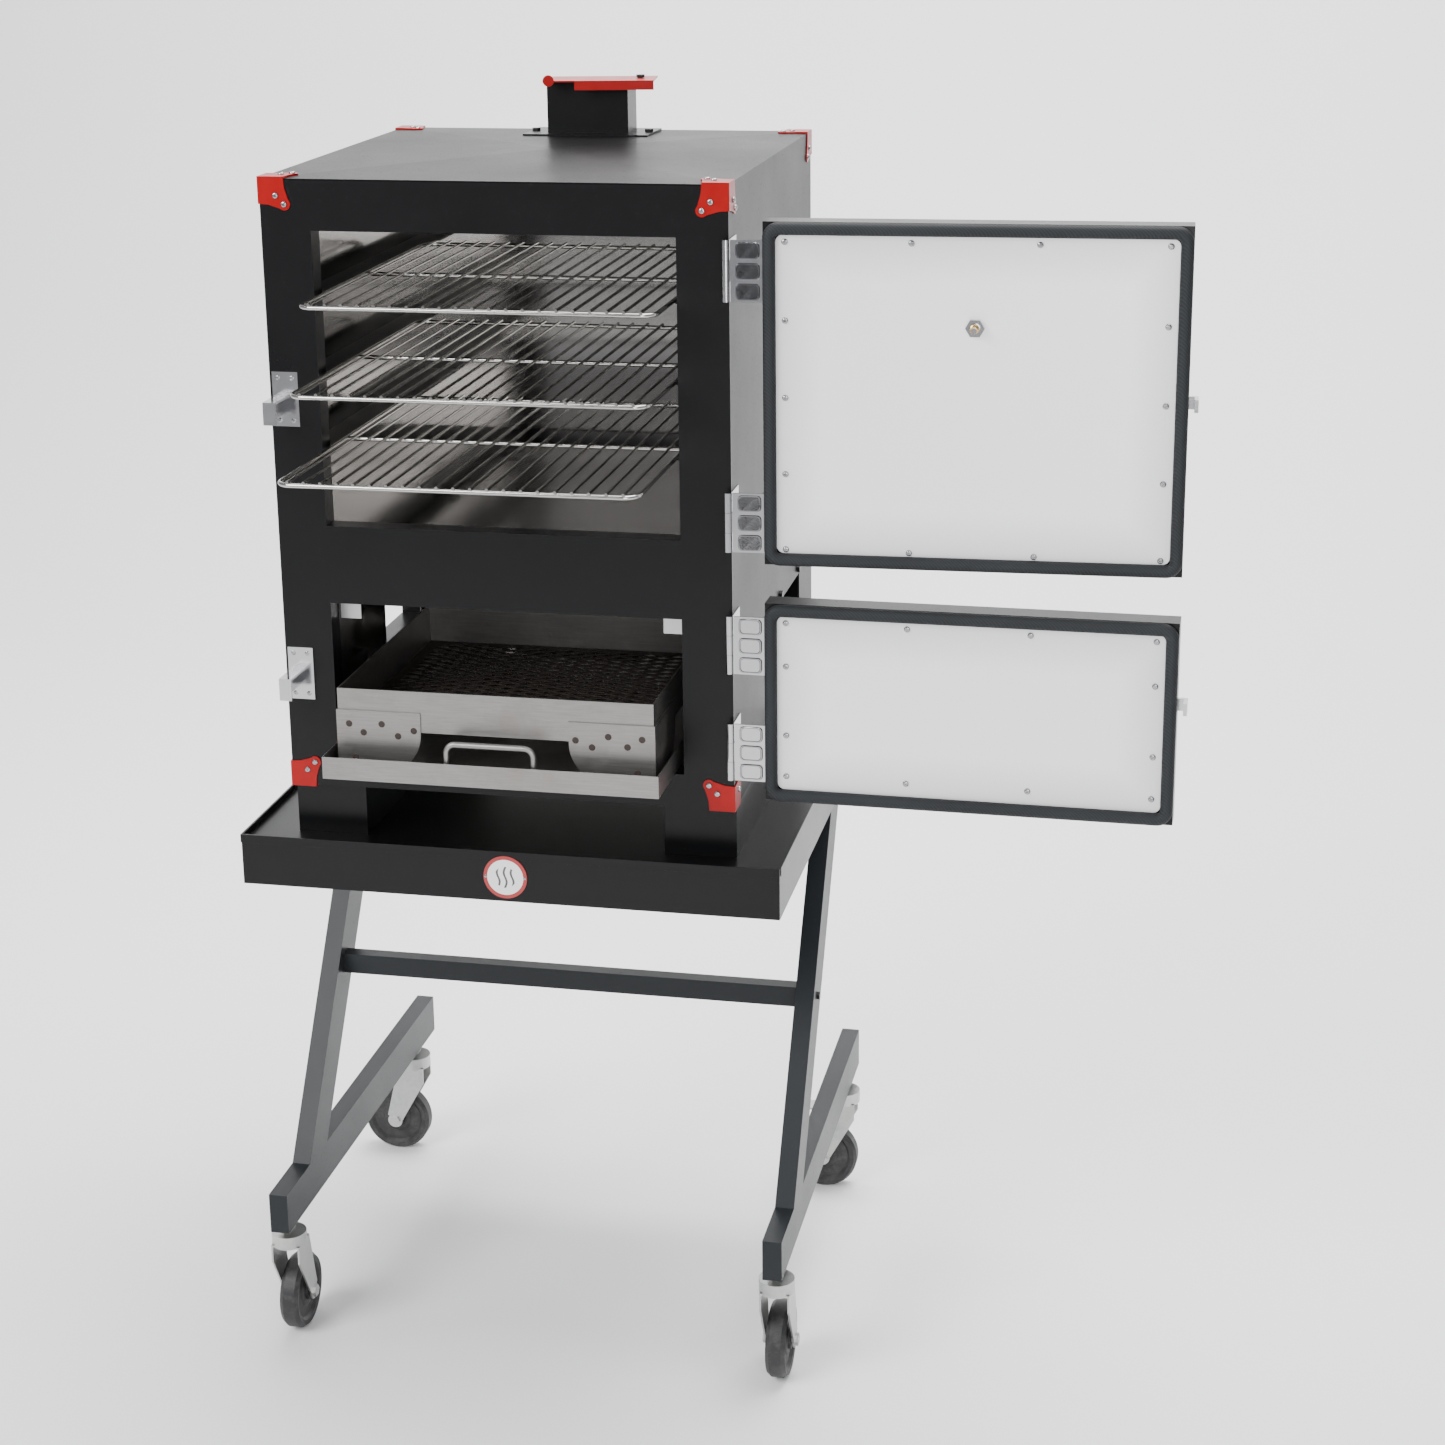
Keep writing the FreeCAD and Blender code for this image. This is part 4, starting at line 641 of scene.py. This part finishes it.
def turned(mesh, profile, segments=24, cap=True):
    """Rings of a turned shape about Z, bridged in order, with the last one capped unless told not to."""
    loops = [ring(mesh, radius, level, segments) for radius, level in profile]
    for first, second in zip(loops, loops[1:]):
        bmesh.ops.bridge_loops(mesh, edges=first + second)
    if cap:
        bmesh.ops.contextual_create(mesh, geom=loops[-1])
    return loops


def slab(mesh, low, high, bevel=0.0):
    """A bar between two corners, with its edges bevelled if a bevel is given."""
    size = [b - a for a, b in zip(low, high)]
    place = Matrix.Translation(centre_of(low, high)) @ Matrix.Diagonal((*size, 1))
    made = bmesh.ops.create_cube(mesh, size=1, matrix=place)
    if bevel:
        edges = list(dict.fromkeys(edge for vertex in made["verts"] for edge in vertex.link_edges))
        bmesh.ops.bevel(mesh, geom=edges, offset=bevel, affect="EDGES", segments=2,
                        profile=0.5, material=-1)


def rounded_loop(mesh, across, along, corner, level, steps=4):
    """A rounded rectangle outline in the XZ plane, centred on the origin."""
    verts = []
    for quarter in range(4):
        start = quarter * QUARTER
        sign_x = 1 if quarter in (0, 3) else -1
        sign_z = 1 if quarter in (0, 1) else -1
        for step in range(steps + 1):
            angle = start + step / steps * QUARTER
            x = sign_x * (across / 2 - corner) + corner * math.cos(angle)
            z = sign_z * (along / 2 - corner) + corner * math.sin(angle)
            verts.append(mesh.verts.new((x, level, z)))
    return [mesh.edges.new((first, second)) for first, second in zip(verts, verts[1:] + verts[:1])]


# ---------------------------------------------------------------- screws

# The reach and half width of the cross are shares of the head's radius, and its depth a share of the height.
# SCREW_RINGS holds shares of the radius and the height.
CROSS_REACH = 0.44
CROSS_HALF = 0.1
CROSS_DEPTH = 0.5
SCREW_RINGS = ((1.0, 0.0), (1.0, 0.3), (0.94, 0.62), (0.76, 0.88), (0.54, 1.0))
SCREW_SEGMENTS = 16
TWIST_ACROSS = 40
TWIST_UP = 25


def screw_head(mesh, radius, height, place):
    """Add a pan head with a cross recess. It stands on the XY plane before it is placed."""
    head = bmesh.new()
    profile = [(radius * out, height * up) for out, up in SCREW_RINGS]
    loops = turned(head, profile, SCREW_SEGMENTS, cap=False)
    reach = radius * CROSS_REACH
    half = radius * CROSS_HALF
    outline = []
    for quarter in range(4):
        turn = Matrix.Rotation(quarter * QUARTER, 3, "Z")
        for x, y in ((half, half), (reach, half), (reach, -half)):
            outline.append(head.verts.new(turn @ Vector((x, y, height))))
    ordered = sorted(outline, key=lambda vertex: math.atan2(vertex.co.y, vertex.co.x))
    recess = [head.edges.new(pair) for pair in zip(ordered, ordered[1:] + ordered[:1])]
    bmesh.ops.triangle_fill(head, edges=loops[-1] + recess, use_beauty=True)
    lowered = bmesh.ops.extrude_edge_only(head, edges=recess)["geom"]
    sunk = [item for item in lowered if isinstance(item, bmesh.types.BMVert)]
    bmesh.ops.translate(head, verts=sunk, vec=(0, 0, -height * CROSS_DEPTH))
    floor = [item for item in lowered if isinstance(item, bmesh.types.BMEdge)
             and all(vertex in sunk for vertex in item.verts)]
    bmesh.ops.contextual_create(head, geom=floor)
    bmesh.ops.recalc_face_normals(head, faces=head.faces)
    join(mesh, head, place)


def make_screws(node, body):
    """Fine pan heads in place of a node's plain ones, each facing away from the cabinet's middle.

    Each one stops at its own angle, which follows from where it stands.
    """
    middle = (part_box("back_skin")[0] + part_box("front_frame")[1]) / 2
    mesh = bmesh.new()
    for low, high in loose_parts(node):
        size = high - low
        axis = min(range(3), key=lambda item: size[item])
        spot = (low + high) / 2
        outward = Vector((0, 0, 0))
        outward[axis] = 1 if spot[axis] > middle[axis] else -1
        radius = max(size) / 2
        spot -= outward * size[axis] / 2
        place = Matrix.Translation(spot) @ outward.to_track_quat("Z", "Y").to_matrix().to_4x4()
        twist = Matrix.Rotation(spot.x * TWIST_ACROSS + spot.z * TWIST_UP, 4, "Z")
        screw_head(mesh, radius, size[axis], place @ twist)
    piece = attach(mesh, node + "_fine", finishes["screw_steel"], body, smooth=False)
    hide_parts(node)


# ---------------------------------------------------------------- hinges, doors and seals

# The pressings of a hinge leaf. The first two are shares of the leaf's width, from its two sides. The next
# two are shares of a third of its length. RIM_STEPS holds shares of a pressing's size, and levels.
RIM_NEAR = 0.34
RIM_FAR = 0.07
RIM_LENGTH = 0.8
RIM_CORNER = 0.2
RIM_STEPS = ((1.0, 0.9 * MM), (0.96, 0), (0.86, 0), (0.8, 0.8 * MM))
RIM_FACE = -3.1 * MM
RIMS_PER_LEAF = 3


def pressed_rim(mesh, across, along, middle):
    """Add one raised rounded rectangle, centred on a point of the leaf."""
    pressed = bmesh.new()
    loops = []
    for share, level in RIM_STEPS:
        length = along * RIM_LENGTH * share
        corner = along * RIM_CORNER * share
        loops.append(rounded_loop(pressed, across * share, length, corner, RIM_FACE + level))
    for first, second in zip(loops, loops[1:]):
        bmesh.ops.bridge_loops(pressed, edges=first + second)
    bmesh.ops.contextual_create(pressed, geom=loops[-1])
    join(mesh, pressed, Matrix.Translation(middle))


def make_leaf_rims():
    """Three pressed rounded rectangles on each hinge leaf of the doors, in a darker chrome that paints their dark
    reflection.
    """
    for door in DOORS:
        low, high = door_box(door, door + "_door_leaves")
        near = low.x + (high.x - low.x) * RIM_NEAR
        far = high.x - (high.x - low.x) * RIM_FAR
        mesh = bmesh.new()
        for bottom, top in loose_parts(door + "_door_leaves"):
            along = (top.z - bottom.z) / RIMS_PER_LEAF
            for index in range(RIMS_PER_LEAF):
                middle = Vector(((near + far) / 2, 0, bottom.z + along * (index + 0.5)))
                pressed_rim(mesh, far - near, along, middle)
        attach(mesh, door + "_leaf_rims", finishes["leaf_chrome_painted_reflection"], door + "_door",
               door_place(door), False)


ROPE_RADIUS = 8 * MM
JOINT_RINGS = ((0.9, -4 * MM), (1.015, -2.5 * MM), (1.02, -0.6 * MM), (0.97, 0), (1.02, 0.6 * MM),
               (0.92, 4 * MM))
JOINT_SEGMENTS = 20


def make_gasket_joints():
    """The butt joint of each seal, a slightly fatter turn of rope at the middle of the lower run."""
    for door in DOORS:
        low, high = door_box(door, door + "_gasket")
        middle = Vector(((low.x + high.x) / 2, low.y + ROPE_RADIUS, low.z + ROPE_RADIUS))
        mesh = bmesh.new()
        profile = [(ROPE_RADIUS * share, level) for share, level in JOINT_RINGS]
        turned(mesh, profile, JOINT_SEGMENTS, cap=False)
        place = door_place(door) @ Matrix.Translation(middle) @ Matrix.Rotation(QUARTER, 4, "Y")
        attach(mesh, door + "_gasket_joint", finishes["seal_rope"], door + "_door", place)


# The probe's flange is in radii and levels, and its stem in radii and shares of the way from nut to dial.
PROBE_FLANGE = ((6.0 * MM, 0), (6.0 * MM, 3 * MM), (5.2 * MM, 4 * MM), (4.4 * MM, 4 * MM))
PROBE_STEM = ((4.4 * MM, 0.8), (3.6 * MM, 0.97))
PROBE_SEGMENTS = 24

# The dial's sizes are shares of its radius, and its levels are measured from the glass.
DIAL_LEAN = -0.038
FACE_RINGS = ((0.86, -1.5 * MM), (0.84, -1.4 * MM))
FACE_SEGMENTS = 40
MARK_STEPS = 20
MARK_START = 0.125
MARK_SWEEP = 0.75
STEPS_PER_LONG_MARK = 5
MARK_OUTER = 0.78
LONG_MARK = (0.62, 0.5 * MM)
SHORT_MARK = (0.7, 0.25 * MM)
MARK_LEVEL = -1.3 * MM
POINTER_TAIL = 0.18
POINTER_REACH = 0.66
POINTER_HALF = 0.7 * MM
POINTER_TOP = -0.9 * MM
POINTER_BEVEL = 0.15 * MM
BOSS_RINGS = ((3 * MM, MARK_LEVEL), (3 * MM, -0.7 * MM), (1.6 * MM, -0.5 * MM))
BOSS_SEGMENTS = 16
POINTER_TURN = 2.1


def make_gauge_marks(radius):
    """Flat scale marks round the dial, longer and wider at every fifth step."""
    marks = bmesh.new()
    outer = radius * MARK_OUTER
    for index in range(MARK_STEPS + 1):
        share, half = SHORT_MARK if index % STEPS_PER_LONG_MARK else LONG_MARK
        inner = radius * share
        turn = Matrix.Rotation(TURN * (MARK_START + MARK_SWEEP * index / MARK_STEPS), 4, "Z")
        flat = Matrix.Translation((0, -(inner + outer) / 2, MARK_LEVEL))
        flat = flat @ Matrix.Diagonal((half, (outer - inner) / 2, 1, 1))
        made = bmesh.ops.create_grid(marks, x_segments=1, y_segments=1, size=1)
        bmesh.ops.transform(marks, matrix=turn @ flat, verts=made["verts"])
    return marks


def make_gauge_pointer(radius):
    """A thin bar with a tail, and a round boss over its middle."""
    pointer = bmesh.new()
    tail = (-POINTER_HALF, -radius * POINTER_TAIL, MARK_LEVEL)
    tip = (POINTER_HALF, radius * POINTER_REACH, POINTER_TOP)
    slab(pointer, tail, tip, POINTER_BEVEL)
    turned(pointer, BOSS_RINGS, BOSS_SEGMENTS)
    return pointer


def make_thermometer_parts():
    """Brass probe through the inner nut, and a printed face with a pointer on the outside."""
    dial, nut = loose_parts("thermometer")[:2]
    spot = (nut[0] + nut[1]) / 2
    reach = nut[0].y - dial[0].y
    probe = bmesh.new()
    stem = [(radius, reach * share) for radius, share in PROBE_STEM]
    turned(probe, [*PROBE_FLANGE, *stem], PROBE_SEGMENTS)
    inward = Matrix.Translation((spot.x, nut[0].y, spot.z)) @ Matrix.Rotation(QUARTER, 4, "X")
    attach(probe, "probe_sleeve", finishes["brass"], "upper_door", inward)
    radius = (dial[1].x - dial[0].x) / 2
    outward = Matrix.Translation((spot.x, dial[1].y, spot.z)) @ Matrix.Rotation(-QUARTER, 4, "X")
    outward = outward @ Matrix.Rotation(DIAL_LEAN, 4, "Y")
    face = bmesh.new()
    turned(face, [(radius * share, level) for share, level in FACE_RINGS], FACE_SEGMENTS)
    attach(face, "gauge_face", finishes["gauge_white"], "upper_door", outward)
    attach(make_gauge_marks(radius), "gauge_marks", finishes["black_oxide"], "upper_door", outward)
    attach(make_gauge_pointer(radius), "gauge_pointer", finishes["red_enamel"], "upper_door",
           outward @ Matrix.Rotation(POINTER_TURN, 4, "Z"))


# ---------------------------------------------------------------- firebox

# Places of the welds, as shares across and up a field at each front corner of the basket. The field's width
# is a length, and its height a share of the basket's.
WELD_SPOTS = ((0.15, 0.93), (0.54, 0.95), (0.92, 0.85), (0.32, 0.77), (0.73, 0.73), (0.21, 0.28))
WELD_FIELD_WIDTH = 115 * MM
WELD_FIELD_HEIGHT = 0.62
WELD_RINGS = ((4.6 * MM, 0), (4.2 * MM, 0.25 * MM), (2.6 * MM, 0.4 * MM), (1.4 * MM, 0.2 * MM))
WELD_SEGMENTS = 14


def make_weld_spots():
    """Scorched spot welds that hold the basket's feet."""
    low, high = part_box("charcoal_basket")
    rise = (high.z - low.z) * WELD_FIELD_HEIGHT
    forward = Matrix.Rotation(QUARTER, 4, "X")
    mesh = bmesh.new()
    for side, edge in ((-1, low.x), (1, high.x)):
        for across, up in WELD_SPOTS:
            spot = Vector((edge - side * WELD_FIELD_WIDTH * across, low.y, low.z + rise * up))
            dot = bmesh.new()
            turned(dot, WELD_RINGS, WELD_SEGMENTS)
            join(mesh, dot, Matrix.Translation(spot) @ forward)
    attach(mesh, "basket_weld_spots", finishes["scorched_weld"], "ash_drawer")


WINDOW_MARGIN = 2 * MM
SLEEVE_EASE = 0.1 * MM
SLEEVE_SHEET = 1.2 * MM


def make_window_sleeves():
    """Folded sheet that closes the wall cavity round each firebox window."""
    openings = {item["name"]: item["box_m"] for item in frame["record"]["physics"]["openings"]}
    for side in ("left", "right"):
        low, high = (Vector(corner) for corner in openings[side + "_window"])
        skin_low, skin_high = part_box(side + "_skin")
        liner_low, liner_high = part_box(side + "_liner")
        wall = (skin_high.x, liner_low.x) if side == "left" else (liner_high.x, skin_low.x)
        inner, outer = sorted(wall)
        far = WINDOW_MARGIN - SLEEVE_EASE
        near = far - SLEEVE_SHEET
        mesh = bmesh.new()
        for front, back in ((low.y - far, low.y - near), (high.y + near, high.y + far)):
            slab(mesh, (inner, front, low.z - far), (outer, back, high.z + far))
        for under, over in ((low.z - far, low.z - near), (high.z + near, high.z + far)):
            slab(mesh, (inner, low.y - far, under), (outer, high.y + far, over))
        attach(mesh, side + "_window_sleeve", finishes["cabinet_paint"], CART, smooth=False)


FOLD_BAND = 11.6 * MM
FOLD_PROUD = 1.0 * MM
FOLD_GAP = 6 * MM
FOLD_BEVEL = 0.3 * MM


def make_tray_fold():
    """The folded upper band of the tray on its front and sides, open at the front right corner."""
    low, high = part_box("deck_tray")
    seam = high.z - FOLD_BAND
    left = low.x - FOLD_PROUD
    mesh = bmesh.new()
    slab(mesh, (left, low.y - FOLD_PROUD, seam), (high.x - FOLD_GAP, low.y, high.z), FOLD_BEVEL)
    slab(mesh, (left, low.y, seam), (low.x, high.y, high.z), FOLD_BEVEL)
    slab(mesh, (high.x, low.y + FOLD_GAP, seam), (high.x + FOLD_PROUD, high.y, high.z), FOLD_BEVEL)
    attach(mesh, "tray_fold", finishes["cabinet_paint"], CART, smooth=False)


# ---------------------------------------------------------------- wheels

CASTERS = ("front_left", "front_right", "rear_left", "rear_right")

# The face is a share of the wheel's half width. The rings hold shares of the radius, and levels above
# the face.
COVER_FACE = 0.62
COVER_RINGS = ((0.44, 0), (0.42, 1.2 * MM), (0.34, 2.2 * MM), (0.27, 2.4 * MM))
COVER_SEGMENTS = 32


def make_hub_covers():
    """Pressed bearing covers on both faces of each wheel."""
    for caster in CASTERS:
        low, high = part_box(caster + "_wheel")
        middle = (low + high) / 2
        size = high - low
        axis = "Y" if size.x < size.y else "X"
        face = min(size.x, size.y) / 2 * COVER_FACE
        radius = size.z / 2
        mesh = bmesh.new()
        for side in (-1, 1):
            cover = bmesh.new()
            profile = [(radius * share, face + level) for share, level in COVER_RINGS]
            turned(cover, profile, COVER_SEGMENTS, cap=False)
            join(mesh, cover, Matrix.Translation(middle) @ Matrix.Rotation(QUARTER * side, 4, axis))
        attach(mesh, caster + "_hub_covers", finishes["tyre_rubber"], caster + "_roller")


# ---------------------------------------------------------------- the smoker

finishes = make_finishes()
make_camera()
make_floor()
make_studio()
dress_nodes(finishes)
make_screws("upper_door_screws", "upper_door")
make_screws("lower_door_screws", "lower_door")
make_screws("panel_screws", CART)
make_leaf_rims()
make_gasket_joints()
make_thermometer_parts()
make_weld_spots()
make_window_sleeves()
make_tray_fold()
make_hub_covers()
